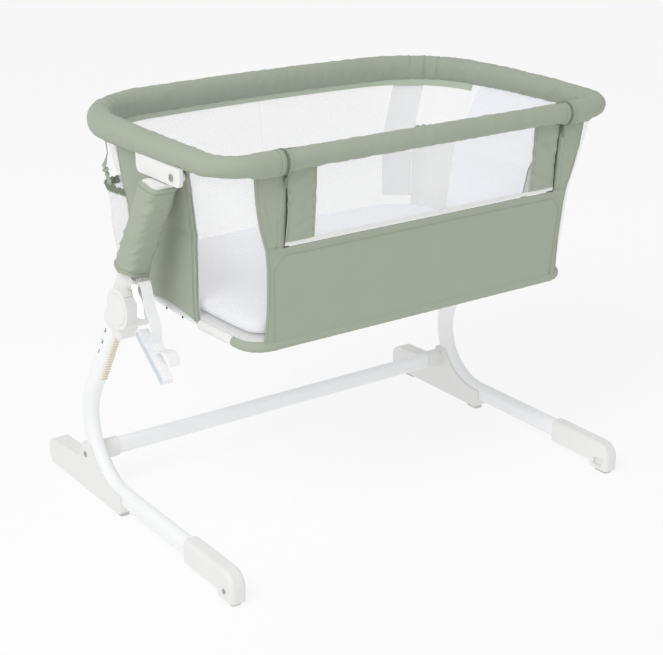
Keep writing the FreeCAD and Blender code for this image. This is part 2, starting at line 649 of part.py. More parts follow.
def tab_room():
    half = TAB_SIZE[1] / 2 + TAB_GAP
    along = DRUM_ALONG + DRUM_RADIUS
    return arm_block((TAB_ACROSS[0] - TAB_GAP, TAB_ACROSS[1] + TAB_GAP),
                     (along - TAB_DEEP - TAB_TRAVEL - TAB_GAP, along + 1),
                     (DRUM_FORWARD - half, DRUM_FORWARD + half))


def press_tab():
    half = TAB_SIZE[1] / 2
    along = DRUM_ALONG + DRUM_RADIUS
    return arm_block(TAB_ACROSS, (along - TAB_DEEP, along + TAB_PROUD), (DRUM_FORWARD - half, DRUM_FORWARD + half))


def latch_pawl():
    wide, high, deep = PAWL_SIZE
    nose = RACK_FRONT + PAWL_CLEAR
    return arm_block((-wide / 2, wide / 2), (PAWL_ALONG - high / 2, PAWL_ALONG + high / 2), (nose, nose + deep))


def pawl_spring():
    """Return spring in front of the pawl, as the tube that its coils fill."""
    start = arm_point(PAWL_ALONG, RACK_FRONT + PAWL_CLEAR + PAWL_SIZE[2] + TOUCH_GAP)
    length = SPRING_LENGTH - 2 * TOUCH_GAP
    tube = rod(start, FORWARD_ARM, SPRING_RADIUS, length)
    return tube.cut(rod(start, FORWARD_ARM, SPRING_RADIUS - SPRING_WALL, length))


def rack_slot(along0, along1, more):
    """Room for the height rack in front of the leg tube, where the arm slides past it."""
    half = RACK_WIDE / 2 + CHANNEL_GAP
    return arm_block((-half, half), (along0, along1), (0, max(CHANNEL_FRONT, ARM_DEEP / 2) + more))


def arm_tube():
    """Tube up from the hub, slotted in front for the rack."""
    low = HUB_TOP - ARM_TUBE_SEAT
    tube = arm_oval(low, ARM_TUBE_TOP, ARM_DEEP, ARM_WIDE)
    hollow = arm_oval(low - 1, ARM_TUBE_TOP + 1, ARM_DEEP - 2 * ARM_TUBE_WALL, ARM_WIDE - 2 * ARM_TUBE_WALL)
    return tube.cut([hollow, rack_slot(low - 1, ARM_TUBE_TOP - HEAD_PLUG, 0)])


def arm_head():
    """Plug in the arm tube's top, a shoulder, and the tongue up to the bracket's pivot."""
    inner_deep = ARM_DEEP - 2 * ARM_TUBE_WALL - 2 * SEAT_GAP
    inner_wide = ARM_WIDE - 2 * ARM_TUBE_WALL - 2 * SEAT_GAP
    low = ARM_TUBE_TOP + TOUCH_GAP
    plug = arm_oval(ARM_TUBE_TOP - HEAD_PLUG, low + TOUCH_GAP, inner_deep, inner_wide)
    shoulder = extrude(cover_outline(low, COVER_FRONT, -HEAD_INSET), UP_ARM * (RAIL_HEIGHT - BRACKET_BOTTOM))
    over = block(LEG_X - ARM_WIDE, LEG_X + ARM_WIDE, -HALF_FOOT, HALF_FOOT,
                 BRACKET_BOTTOM - HEAD_GAP, RAIL_HEIGHT + HALF_FOOT)
    shoulder = shoulder.cut(over)
    pivot = Vector(TONGUE_X, PIVOT_Y, PIVOT_Z)
    boss = rod(pivot, X_AXIS, LUG_RADIUS, TONGUE_THICK)
    root = arm_point(ARM_TUBE_TOP + TONGUE_ROOT)
    web_points = [
        (PIVOT_Y - LUG_RADIUS * 0.8, PIVOT_Z - LUG_RADIUS * 0.5),
        (PIVOT_Y + LUG_RADIUS * 0.5, PIVOT_Z + LUG_RADIUS * 0.8),
        (root.y + TONGUE_ROOT, BRACKET_BOTTOM),
        (root.y + TONGUE_ROOT / 2, root.z),
        (root.y - TONGUE_ROOT, root.z),
    ]
    web = polygon([Vector(TONGUE_X, y, z) for y, z in web_points])
    tongue = boss.fuse(extrude(web, X_AXIS * TONGUE_THICK))
    hole = rod(pivot - X_AXIS, X_AXIS, PIVOT_RADIUS + PIVOT_GAP, TONGUE_THICK + 2)
    return plug.fuse([shoulder, tongue]).cut(hole)


TONGUE_X = -BRACKET_OUTER + BRACKET_CHEEK + CHEEK_GAP


def cover_outline(along, front, grow):
    """Rounded box round the arm: its outer, inner, back and front faces set by themselves."""
    r = COVER_CORNER
    out, inn, back, fore = -COVER_OUT - grow, COVER_IN + grow, -COVER_BACK - min(grow, 0), front + min(grow, 0)

    def at(across, forward):
        return arm_point(along, forward, across)

    def corner(x, f, sx, sf):
        """Round corner at (x, f), turning from its X side to its forward side."""
        return at(x, f - sf * r), at(x - sx * r * (1 - ROUND), f - sf * r * (1 - ROUND)), at(x - sx * r, f)

    a = corner(out, fore, -1, 1)
    b = corner(inn, fore, 1, 1)
    c = corner(inn, back, 1, -1)
    d = corner(out, back, -1, -1)
    return Part.Wire([
        arc(*a), line(a[2], b[2]), arc(*reversed(b)), line(b[0], c[0]),
        arc(*c), line(c[2], d[2]), arc(*reversed(d)), line(d[0], a[0]),
    ])


def arm_cover():
    """Fabric sleeve: fuller at its lower hem, hollow round the arm tube."""
    levels = (
        (COVER_BOTTOM, COVER_FRONT + COVER_HEM_FULL, 0.0),
        (COVER_BOTTOM + COVER_HEM_HIGH, COVER_FRONT + COVER_HEM_FULL + 1.5, 0.5),
        ((COVER_BOTTOM + COVER_TOP) / 2, COVER_FRONT, -0.8),
        (COVER_TOP, COVER_FRONT, 0.0),
    )
    outer = Part.makeLoft([cover_outline(a, f, g) for a, f, g in levels], True, True)
    hollow = arm_oval(COVER_BOTTOM - 1, COVER_TOP + 1, ARM_DEEP + 2 * COVER_GAP, ARM_WIDE + 2 * COVER_GAP)
    hub_room = arm_oval(COVER_BOTTOM - 1, HUB_TOP + COVER_GAP, HUB_DEEP + 2 * COVER_GAP, HUB_WIDE + 2 * COVER_GAP)
    slot = rack_slot(COVER_BOTTOM - 1, ARM_TUBE_TOP - HEAD_PLUG, COVER_GAP)
    return outer.cut([hollow, hub_room, slot, tether_room()])


# ---------------------------------------------------------------- tether, left side only
STRAP_X = LEG_X - LOBE_WIDE / 2 + STRAP_IN


def tether_room():
    """Space round the lug and the screw inside the sleeve's hem."""
    radius = TETHER_LUG[0] + 2 * COVER_GAP
    lug = rod(arm_point(TETHER_ALONG, TETHER_FORWARD, -COVER_OUT - 2), X_AXIS, radius, COVER_OUT + 2)
    inner = arm_block((-COVER_OUT - 2, 0), (COVER_BOTTOM - radius, TETHER_ALONG + radius), (0, TETHER_FORWARD))
    return lug.fuse(inner)


def tether_screw():
    radius, high = TETHER_SCREW
    start = arm_point(TETHER_ALONG, TETHER_FORWARD, -LOBE_WIDE / 2 - high)
    return rod(start, X_AXIS, radius, high).cut(rod(start - X_AXIS, X_AXIS, RECESS_RADIUS, high))


def plate_frame():
    a = math.radians(PLATE_SLOPE)
    along = Vector(0, -math.cos(a), -math.sin(a))
    normal = Vector(0, math.sin(a), -math.cos(a))
    return Vector(STRAP_X, PLATE_Y, PLATE_Z), along, normal


def plate_oval(grow, half_wide):
    centre, along, normal = plate_frame()
    wire = oval_wire(centre - X_AXIS * half_wide, along, normal, PLATE_LENGTH + 2 * grow, PLATE_THICK + 2 * grow)
    return extrude(wire, X_AXIS * (2 * half_wide))


def anchor_plate():
    return plate_oval(0, STRAP_WIDE / 2 - PLATE_INSET)


def ribbon(points, thick, x0, wide):
    """Flat webbing on edge: points (y, z) along its middle, mitred at each bend."""
    near = []
    far = []
    for i, (y, z) in enumerate(points):
        y0, z0 = points[i - 1] if i else points[0]
        y1, z1 = points[i + 1] if i + 1 < len(points) else points[-1]
        before = Vector(0, y - y0, z - z0)
        after = Vector(0, y1 - y, z1 - z)
        ways = [w.normalize() for w in (before, after) if w.Length > 0]
        way = sum(ways, Vector()).normalize()
        reach = thick / 2 / max(way.dot(ways[0]), 0.5)
        side = Vector(0, -way.z, way.y) * reach
        near.append(Vector(x0, y, z) + side)
        far.append(Vector(x0, y, z) - side)
    return extrude(polygon(near + far[::-1]), X_AXIS * wide)


def tether_strap():
    """Webbing: down from the hub, once round the plate, and a short tail."""
    half = STRAP_WIDE / 2
    x0 = STRAP_X - half
    loop = plate_oval(PLATE_GAP + STRAP_THICK, half).cut(plate_oval(PLATE_GAP, half + 1))
    top = arm_point(TETHER_ALONG, TETHER_FORWARD)
    lug_radius = TETHER_LUG[0]
    start = (top.y - lug_radius + STRAP_START[0], top.z + STRAP_START[1])
    drop = [start] + [(PLATE_Y + dy, PLATE_Z + dz) for dy, dz in STRAP_DROP]
    tail = [(PLATE_Y + dy, PLATE_Z + dz) for dy, dz in STRAP_TAIL]
    hang = ribbon(drop, STRAP_THICK, x0, STRAP_WIDE)
    end = ribbon(tail, STRAP_THICK, x0, STRAP_WIDE)
    strap = loop.fuse([hang, end]).cut(plate_oval(PLATE_GAP, half + 1))
    return strap.removeSplitter()


# ---------------------------------------------------------------- bassinet plan
WALL_TOP = RAIL_HEIGHT - RAIL_PAD_RADIUS - WALL_TOP_GAP


def plan(z, inset=0.0):
    """Outline of the fabric at height z: corner centres, radii and bowed sides, +X half."""
    k = (z - FLOOR_LEVEL) / (WALL_TOP - FLOOR_LEVEL)

    def mix(low, high):
        return low + (high - low) * k

    if z < SILL_HEIGHT:
        share = (z - FLOOR_LEVEL) / (SILL_HEIGHT - FLOOR_LEVEL)
        xe = FLOOR_HALF_LENGTH + (SILL_HALF_LENGTH - FLOOR_HALF_LENGTH) * share
    else:
        share = (z - SILL_HEIGHT) / (WALL_TOP - SILL_HEIGHT)
        xe = SILL_HALF_LENGTH + (RAIL_HALF_LENGTH - WALL_INSET - SILL_HALF_LENGTH) * share
    yf = mix(FLOOR_FRONT, RAIL_FRONT + WALL_INSET)
    yb = mix(FLOOR_BACK, RAIL_BACK - WALL_INSET)
    rf = mix(FLOOR_FRONT_CORNER, RAIL_FRONT_CORNER)
    rb = mix(FLOOR_BACK_CORNER, RAIL_BACK_CORNER)
    return outline_arcs(xe, yf, yb, rf, rb, inset)


def outline_arcs(xe, yf, yb, rf, rb, inset):
    e = math.radians(END_BOW)
    b = math.radians(BACK_BOW)
    cxf = xe - rf * math.cos(e)
    cyf = yf + rf
    cxb = xe - rb * math.cos(e)
    rk = (cxb + rb * math.sin(b)) / math.sin(b)
    cyb = yb - rb * math.cos(b) - rk * (1 - math.cos(b))
    y1 = cyf - rf * math.sin(e)
    y2 = cyb + rb * math.sin(e)
    re = (y2 - y1) / (2 * math.sin(e))
    return {
        "front": (0.0, cxf, yf + inset),
        "front_corner": (cxf, cyf, rf - inset, -90.0, -END_BOW),
        "end": (xe - re * math.cos(e), (y1 + y2) / 2, re - inset, -END_BOW, END_BOW),
        "back_corner": (cxb, cyb, rb - inset, END_BOW, 90.0 - BACK_BOW),
        "back": (0.0, cyb + rb * math.cos(b) - rk * math.cos(b), rk - inset, 90.0 - BACK_BOW, 90.0),
    }


def plan_point(arcs, name, share, z):
    """Point a share of the way along one named stretch of the +X half."""
    if name == "front":
        x0, x1, y = arcs[name]
        return Vector(x0 + (x1 - x0) * share, y, z)
    cx, cy, r, a0, a1 = arcs[name]
    a = math.radians(a0 + (a1 - a0) * share)
    return Vector(cx + r * math.cos(a), cy + r * math.sin(a), z)


def plan_edge(arcs, name, share0, share1, z):
    a = plan_point(arcs, name, share0, z)
    b = plan_point(arcs, name, share1, z)
    if name == "front":
        return line(a, b)
    return arc(a, plan_point(arcs, name, (share0 + share1) / 2, z), b)


def band_wire(z, stretches, out, thick):
    """Closed outline of a fabric band at one height."""
    outer = plan(z, -out)
    inner = plan(z, thick - out)
    edges = [plan_edge(outer, n, s0, s1, z) for n, s0, s1 in stretches]
    back = [plan_edge(inner, n, s1, s0, z) for n, s0, s1 in reversed(stretches)]
    first = stretches[0]
    last = stretches[-1]
    edges.append(line(plan_point(outer, last[0], last[2], z), plan_point(inner, last[0], last[2], z)))
    edges += back
    edges.append(line(plan_point(inner, first[0], first[1], z), plan_point(outer, first[0], first[1], z)))
    return Part.Wire(edges)


def fabric(levels, thick, out=0.0):
    """Wall of cloth through its levels, each a height and the stretches of the outline there."""
    return Part.makeLoft([band_wire(z, stretches, out, thick) for z, stretches in levels], True, True)


def loop_edges(arcs, z):
    """Whole closed outline, starting at the front."""
    half = ["front_corner", "end", "back_corner"]
    right = [plan_edge(arcs, n, 0, 1, z) for n in half]
    cxf = arcs["front"][1]
    y = arcs["front"][2]
    cx, cy, r, a0, _ = arcs["back"]
    a = math.radians(a0)
    back = arc(Vector(cx + r * math.cos(a), cy + r * math.sin(a), z), Vector(0, cy + r, z),
               Vector(-r * math.cos(a), cy + r * math.sin(a), z))
    left = []
    for name in reversed(half):
        p, m, q = (plan_point(arcs, name, s, z) for s in (1.0, 0.5, 0.0))
        left.append(arc(Vector(-p.x, p.y, z), Vector(-m.x, m.y, z), Vector(-q.x, q.y, z)))
    return [line(Vector(-cxf, y, z), Vector(cxf, y, z))] + right + [back] + left


def slab(z0, z1, inset):
    return extrude(Part.Wire(loop_edges(plan(z0, inset), z0)), Z_AXIS * (z1 - z0))


DROP_LOW = SILL_HEIGHT + SILL_GAP


def front_share(z, x):
    return x / plan(z)["front"][1]


# Where one kind of cloth ends and the next starts: share of a stretch, low and high.
LOWER_EDGE = (0.24, 0.16)      # lower front panel round the front corner, at the floor and at the sill
STRIP_EDGE = (LOWER_EDGE[1], 0.03)     # front corner strip carries that edge on, from the sill to the top
END_FRONT = (0.41, 0.19)       # end panel's front edge along the end, at the floor and at the top
END_BACK = (0.80, 0.95)        # end panel's back edge


def mix_share(pair, z):
    k = (z - FLOOR_LEVEL) / (WALL_TOP - FLOOR_LEVEL)
    return pair[0] + (pair[1] - pair[0]) * k


def with_mirror(right):
    """One piece of cloth carried across the middle."""
    return right.fuse(mirrored(right)).removeSplitter()


def front_panel():
    """Lower front panel, carried round both front corners."""
    levels = [
        (z, [("front", 0.0, 1.0), ("front_corner", 0.0, edge)])
        for z, edge in zip((FLOOR_LEVEL, SILL_HEIGHT), LOWER_EDGE)
    ]
    return with_mirror(fabric(levels, PANEL_THICK))


def corner_strip():
    start = DROP_HALF_WIDTH + ZIP_GAP
    levels = [
        (z, [("front", front_share(z, start), 1.0), ("front_corner", 0.0, edge)])
        for z, edge in zip((SILL_HEIGHT, WALL_TOP), STRIP_EDGE)
    ]
    return fabric(levels, PANEL_THICK)


def end_mesh():
    """Mesh between the front corner and the end panel, in a lower and an upper length."""
    def part(z0, z1, edges):
        levels = [
            (z, [("front_corner", edge, 1.0), ("end", 0.0, mix_share(END_FRONT, z))])
            for z, edge in zip((z0, z1), edges)
        ]
        return fabric(levels, MESH_THICK)

    return part(FLOOR_LEVEL, SILL_HEIGHT, LOWER_EDGE).fuse(part(SILL_HEIGHT, WALL_TOP, STRIP_EDGE))


WALL_LEVELS = (FLOOR_LEVEL, SILL_HEIGHT, WALL_TOP)


def end_panel():
    """Green end panel behind the arm, its lower edge cut up in an arch over the floor frame."""
    levels = [(z, [("end", mix_share(END_FRONT, z), mix_share(END_BACK, z))]) for z in WALL_LEVELS]
    panel = fabric(levels, PANEL_THICK)
    arcs = plan(FLOOR_LEVEL)
    front = plan_point(arcs, "end", END_FRONT[0], FLOOR_LEVEL)
    back = plan_point(arcs, "end", END_BACK[0], FLOOR_LEVEL)
    x = front.x - ARCH_RISE
    arch_front = Vector(x, front.y + PANEL_THICK, FLOOR_LEVEL - 1)
    arch_back = Vector(x, back.y + PANEL_THICK, FLOOR_LEVEL - 1)
    crown = Vector(x, (front.y + back.y) / 2, FLOOR_LEVEL + ARCH_RISE)
    arch = Part.Wire([line(arch_back, arch_front), arc(arch_front, crown, arch_back)])
    return panel.cut(extrude(arch, X_AXIS * (2 * ARCH_RISE)))


def back_mesh():
    """Mesh from one end panel round the back to the other."""
    levels = [
        (z, [("end", mix_share(END_BACK, z), 1.0), ("back_corner", 0.0, 1.0), ("back", 0.0, 1.0)])
        for z in WALL_LEVELS
    ]
    return with_mirror(fabric(levels, MESH_THICK))


def back_strips():
    """Tapes sewn inside the mesh at the two back corners."""
    levels = [(z, [("back_corner", STRIP_BAND[0], STRIP_BAND[1])]) for z in (STRIP_LOW, SILL_HEIGHT, WALL_TOP)]
    right = fabric(levels, STRIP_THICK, -MESH_THICK - FABRIC_GAP)
    return [right, mirrored(right)]


def pocket_wire(z, out, thick):
    """Half outline of the storage pocket: sewn beside the end panel, standing off the back."""
    share = mix_share(END_BACK, z) + POCKET_LAP
    turn = POCKET_TURN
    seam = POCKET_SEAM_GAP + thick
    start = seam + (out - seam) * POCKET_START_SHARE

    def at(stretch, part, stand, back):
        return plan_point(plan(z, back * thick - stand), stretch, part, z)

    def side(back):
        """Sewn edge, start of the corner, and where the pocket has its full depth."""
        sewn = at("end", share, seam, back)
        corner = at("end", 1.0, start, back)
        full = at("back_corner", turn, out, back)
        return (
            arc(sewn, at("end", (1 + share) / 2, (seam + start) / 2, back), corner),
            arc(corner, at("back_corner", turn / 2, (start + out) / 2, back), full),
            sewn,
        )

    outer = plan(z, -out)
    inner = plan(z, thick - out)
    outside = side(0)
    inside = side(1)
    return Part.Wire([
        outside[0],
        outside[1],
        plan_edge(outer, "back_corner", turn, 1.0, z),
        plan_edge(outer, "back", 0.0, 1.0, z),
        line(plan_point(outer, "back", 1.0, z), plan_point(inner, "back", 1.0, z)),
        plan_edge(inner, "back", 1.0, 0.0, z),
        plan_edge(inner, "back_corner", 1.0, turn, z),
        inside[1],
        inside[0],
        line(inside[2], outside[2]),
    ])


def storage_pocket():
    low_out = POCKET_THICK + FABRIC_GAP
    top = POCKET_TOP - BAND_HIGH
    sill_share = (SILL_HEIGHT - POCKET_LOW) / (top - POCKET_LOW)
    top_out = POCKET_FLARE - (BAND_THICK - POCKET_THICK) / 2
    levels = (
        (POCKET_LOW, low_out),
        (SILL_HEIGHT, low_out + (top_out - low_out) * sill_share),
        (top, top_out),
    )
    return with_mirror(Part.makeLoft([pocket_wire(z, out, POCKET_THICK) for z, out in levels], True, True))


def pocket_band():
    """Gathered elastic along the pocket's mouth."""
    heights = (POCKET_TOP - BAND_HIGH + TOUCH_GAP, POCKET_TOP)
    return with_mirror(Part.makeLoft([pocket_wire(z, POCKET_FLARE, BAND_THICK) for z in heights], True, True))


# ---------------------------------------------------------------- rail
RAIL_ARCS = outline_arcs(RAIL_HALF_LENGTH, RAIL_FRONT, RAIL_BACK, RAIL_FRONT_CORNER, RAIL_BACK_CORNER, 0.0)
RAIL_SPLIT = DROP_HALF_WIDTH + ZIP_GAP + SPLIT_OUT   # where the padding parts
FRONT_RAIL_END = RAIL_SPLIT - RAIL_JOINT_GAP


def rail_path(x_start):
    """From the right front stub round the back to the left front stub."""
    edges = loop_edges(RAIL_ARCS, RAIL_HEIGHT)
    cxf = RAIL_ARCS["front"][1]
    first = line(Vector(x_start, RAIL_FRONT, RAIL_HEIGHT), Vector(cxf, RAIL_FRONT, RAIL_HEIGHT))
    last = line(Vector(-cxf, RAIL_FRONT, RAIL_HEIGHT), Vector(-x_start, RAIL_FRONT, RAIL_HEIGHT))
    return [first] + edges[1:] + [last]


def rail_pipe(x_start, radius):
    start = Vector(x_start, RAIL_FRONT, RAIL_HEIGHT)
    ring = Part.Wire([Part.Circle(start, X_AXIS, radius).toShape()])
    return sweep(rail_path(x_start), ring)


def front_rod(x0, x1, radius):
    return rod(Vector(x0, RAIL_FRONT, RAIL_HEIGHT), X_AXIS, radius, x1 - x0)


def rail_tube():
    tube = rail_pipe(RAIL_SPLIT, RAIL_TUBE_RADIUS).cut(rail_pipe(RAIL_SPLIT - 1, RAIL_TUBE_RADIUS - RAIL_TUBE_WALL))
    stub = front_rod(RAIL_SPLIT - RAIL_JOINT_LAP, RAIL_SPLIT + STUB_PLUG, STUB_RADIUS)
    plug = front_rod(RAIL_SPLIT, RAIL_SPLIT + STUB_PLUG, RAIL_TUBE_RADIUS - RAIL_TUBE_WALL)
    return tube.fuse([stub, plug, mirrored(stub), mirrored(plug)]).removeSplitter()


def half_shell(x0, x1, outer, inner, sign):
    """Half of a tube along the front rail: sign -1 is its front half, +1 its back half."""
    shell = front_rod(x0, x1, outer).cut(front_rod(x0 - 1, x1 + 1, inner))
    gap = HALF_SHELL_GAP
    near = RAIL_FRONT + (gap if sign > 0 else -2 * outer)
    keep = block(x0 - 1, x1 + 1, near, near + 2 * outer - gap, RAIL_HEIGHT - 2 * outer, RAIL_HEIGHT + 2 * outer)
    return shell.common(keep)


def rail_cover():
    cover = rail_pipe(RAIL_SPLIT, RAIL_PAD_RADIUS).cut(rail_pipe(RAIL_SPLIT - 1, RAIL_TUBE_RADIUS + PAD_GAP))
    lap = half_shell(RAIL_SPLIT - RAIL_JOINT_LAP, RAIL_SPLIT, RAIL_PAD_RADIUS, STUB_RADIUS + PAD_GAP, 1)
    return cover.fuse([lap, mirrored(lap)])


def front_rail_tube():
    end = RAIL_SPLIT - RAIL_JOINT_LAP - 2 * RAIL_JOINT_GAP
    return front_rod(-end, end, RAIL_TUBE_RADIUS).cut(
        front_rod(-end - 1, end + 1, RAIL_TUBE_RADIUS - RAIL_TUBE_WALL))


def front_rail_cover():
    end = RAIL_SPLIT - RAIL_JOINT_LAP - RAIL_JOINT_GAP
    body = front_rod(-end, end, RAIL_PAD_RADIUS).cut(front_rod(-end - 1, end + 1, RAIL_TUBE_RADIUS + PAD_GAP))
    hook = half_shell(end, FRONT_RAIL_END, RAIL_PAD_RADIUS, STUB_RADIUS + RAIL_JOINT_GAP, -1)
    return body.fuse([hook, mirrored(hook)])


def drop_side_panel(x0, x1, z0, z1, thick):
    return fabric([(z, [("front", front_share(z, x0), front_share(z, x1))]) for z in (z0, z1)], thick)


def window_mesh():
    return with_mirror(drop_side_panel(0, WINDOW_HALF_WIDTH, DROP_LOW + HEM_HIGH, WALL_TOP, MESH_THICK))


def drop_strip():
    return drop_side_panel(WINDOW_HALF_WIDTH, DROP_HALF_WIDTH, DROP_LOW + HEM_HIGH, WALL_TOP, PANEL_THICK)


def drop_hem():
    return with_mirror(drop_side_panel(0, DROP_HALF_WIDTH, DROP_LOW, DROP_LOW + HEM_HIGH, PANEL_THICK))


# ---------------------------------------------------------------- brackets and pivots
def rail_bracket():
    """Outer cheek, and behind the pivot a saddle under the padded rail with a pocket for the tongue."""
    x0 = -BRACKET_OUTER
    cheek = block(x0, x0 + BRACKET_CHEEK, BRACKET_FRONT, BRACKET_BACK, BRACKET_BOTTOM, BRACKET_TOP)
    low_corners = [
        e for e in cheek.Edges
        if abs(e.Vertexes[0].X - e.Vertexes[1].X) > 1 and e.Vertexes[0].Z < BRACKET_BOTTOM + 1
    ]
    cheek = cheek.makeFillet(BRACKET_CORNER, low_corners)
    saddle = block(x0, x0 + BRACKET_THICK, SADDLE_FRONT, BRACKET_BACK - BRACKET_CORNER, BRACKET_BOTTOM, BRACKET_TOP)
    pocket = block(TONGUE_X - CHEEK_GAP, TONGUE_X + TONGUE_THICK + CHEEK_GAP,
                   PIVOT_Y - LUG_RADIUS - CHEEK_GAP, SADDLE_BACK, BRACKET_BOTTOM - 1, RAIL_HEIGHT)
    hole = rod(Vector(x0 - CUT_OVER, PIVOT_Y, PIVOT_Z), X_AXIS, PIVOT_RADIUS, BRACKET_CHEEK + 2 * CUT_OVER)
    rail = rail_pipe(RAIL_SPLIT, RAIL_PAD_RADIUS + PAD_GAP)
    return cheek.fuse(saddle).cut([pocket, hole, rail, cloth_room()]).removeSplitter()


def cloth_room():
    """All that lies inside the cloth's outer face, from below the bracket to the rail."""
    def outline(level, z):
        return Part.Wire(loop_edges(plan(level, -FABRIC_GAP - POCKET_SEAM_GAP), z))

    walls = Part.makeLoft([outline(SILL_HEIGHT, SILL_HEIGHT), outline(WALL_TOP, WALL_TOP)], True, True)
    return walls.fuse(extrude(outline(WALL_TOP, WALL_TOP), Z_AXIS * (RAIL_HEIGHT - WALL_TOP)))


def pivot_pin():
    start = Vector(-BRACKET_OUTER, PIVOT_Y, PIVOT_Z)
    shank = rod(start, X_AXIS, PIVOT_RADIUS - TOUCH_GAP, BRACKET_CHEEK + CHEEK_GAP + TONGUE_THICK + PIN_END)
    head = rod(start - X_AXIS * PIVOT_HEAD_HIGH, X_AXIS, PIVOT_HEAD_RADIUS, PIVOT_HEAD_HIGH)
    socket = rod(start - X_AXIS * (PIVOT_HEAD_HIGH + 1), X_AXIS, RECESS_RADIUS, PIVOT_HEAD_HIGH)
    return shank.fuse(head).cut(socket)


# ---------------------------------------------------------------- floor of the bassinet
RING_INSET = PANEL_THICK + RING_RADIUS + RING_GAP
SHEET_LOW = FLOOR_LEVEL + RING_RADIUS + RING_GAP
BOARD_LOW = SHEET_LOW + SHEET_THICK
MATTRESS_LOW = BOARD_LOW + BOARD_THICK


def ring_tube():
    arcs = plan(FLOOR_LEVEL, RING_INSET)
    edges = loop_edges(arcs, FLOOR_LEVEL)
    start = Vector(-arcs["front"][1], arcs["front"][2], FLOOR_LEVEL)

    def pipe(radius):
        return sweep(edges, Part.Wire([Part.Circle(start, X_AXIS, radius).toShape()]))

    return pipe(RING_RADIUS).cut(pipe(RING_RADIUS - RING_WALL))


def mattress():
    """Thin pad: edges drawn in, top slightly crowned."""
    low = MATTRESS_LOW + TOUCH_GAP
    high = MATTRESS_LOW + MATTRESS_THICK
    edge = MATTRESS_EDGE
    gap = PANEL_THICK + MATTRESS_GAP
    sections = (
        (low, gap + edge),
        (low + edge, gap),
        (high - edge, gap),
        (high, gap + edge),
        (high + MATTRESS_CROWN, gap + CROWN_INSET),
    )
    wires = [Part.Wire(loop_edges(plan(FLOOR_LEVEL, inset), z)) for z, inset in sections]
    return Part.makeLoft(wires, True, True)


# ---------------------------------------------------------------- zips
ZIP_X = -(DROP_HALF_WIDTH + ZIP_GAP / 2) - ZIP_ASIDE
ZIP_Z = WALL_TOP - ZIP_LOW
ZIP_FACE = plan(ZIP_Z)["front"][2] - FABRIC_GAP


def zip_slider():
    wide, deep, high = SLIDER_SIZE
    return block(ZIP_X - wide, ZIP_X, ZIP_FACE - deep, ZIP_FACE, ZIP_Z - high, ZIP_Z)


def zip_pull():
    wide, thick, high = PULL_SIZE
    face = ZIP_FACE - SLIDER_SIZE[1] - PULL_GAP
    middle = ZIP_X - SLIDER_SIZE[0] / 2
    top = ZIP_Z - PULL_LOW
    return block(middle - wide / 2, middle + wide / 2, face - thick, face, top - high, top)


# ---------------------------------------------------------------- write every sub-part
def main():
    save_pair("leg_tube", leg_tube())
    save_pair("foot_base", foot_base())
    save_pair("toe_cap", toe_cap())
    save("floor_pads", *floor_pads())
    save("base_screws", *base_screws())
    save("crossbar", crossbar())
    socket = crossbar_socket()
    save("crossbar_sockets", socket, mirrored(socket))
    save_pair("height_rack", height_rack())

    save_pair("hub_housing", hub_housing())
    save_pair("hub_drum", hub_drum())
    save_pair("hub_rim", rim_cap())
    save_pair("push_button", push_button())
    save_pair("press_tab", press_tab())
    save_pair("latch_pawl", latch_pawl())
    save_pair("pawl_spring", pawl_spring())
    save_pair("arm_tube", arm_tube())
    save_pair("arm_head", arm_head())
    save_pair("arm_cover", arm_cover())
    save("tether_screw", tether_screw())
    save("tether_strap", tether_strap())
    save("anchor_plate", anchor_plate())

    save("rail_tube", rail_tube())
    save("rail_cover", rail_cover())
    save_pair("rail_bracket", rail_bracket())
    pin = pivot_pin()
    save("pivot_pins", pin, mirrored(pin))
    save("front_panel", front_panel())
    strip = corner_strip()
    save("corner_strips", strip, mirrored(strip))
    mesh = end_mesh()
    save("end_meshes", mesh, mirrored(mesh))
    save_pair("end_panel", mirrored(end_panel()))
    save("back_mesh", back_mesh())
    save("back_strips", *back_strips())
    save("storage_pocket", storage_pocket())
    save("pocket_band", pocket_band())
    save("ring_tube", ring_tube())
    save("bottom_sheet", slab(SHEET_LOW, SHEET_LOW + SHEET_THICK, SHEET_INSET))
    save("floor_board", slab(BOARD_LOW + TOUCH_GAP, BOARD_LOW + BOARD_THICK, BOARD_INSET))
    save("mattress", mattress())

    save("front_rail_tube", front_rail_tube())
    save("front_rail_cover", front_rail_cover())
    save("window_mesh", window_mesh())
    strip = drop_strip()
    save("drop_strips", strip, mirrored(strip))
    save("drop_hem", drop_hem())
    slider = zip_slider()
    save("zip_sliders", slider, mirrored(slider))
    save_pair("zip_pull", zip_pull())


main()
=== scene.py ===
# %% [markdown]
# # A bedside sleeper crib
# A sage-green cloth bassinet hangs between two white C-shaped legs. The frame below holds every
# hard part at its true size; this file gives each part its finish, and sews the cloth round them.
# All lengths are metres, +Z is up, -Y is the front, where the side drops and the bed stands.

# %% Load the frame
import json
import math

import bpy
import numpy as np
from mathutils import Matrix, Vector, noise


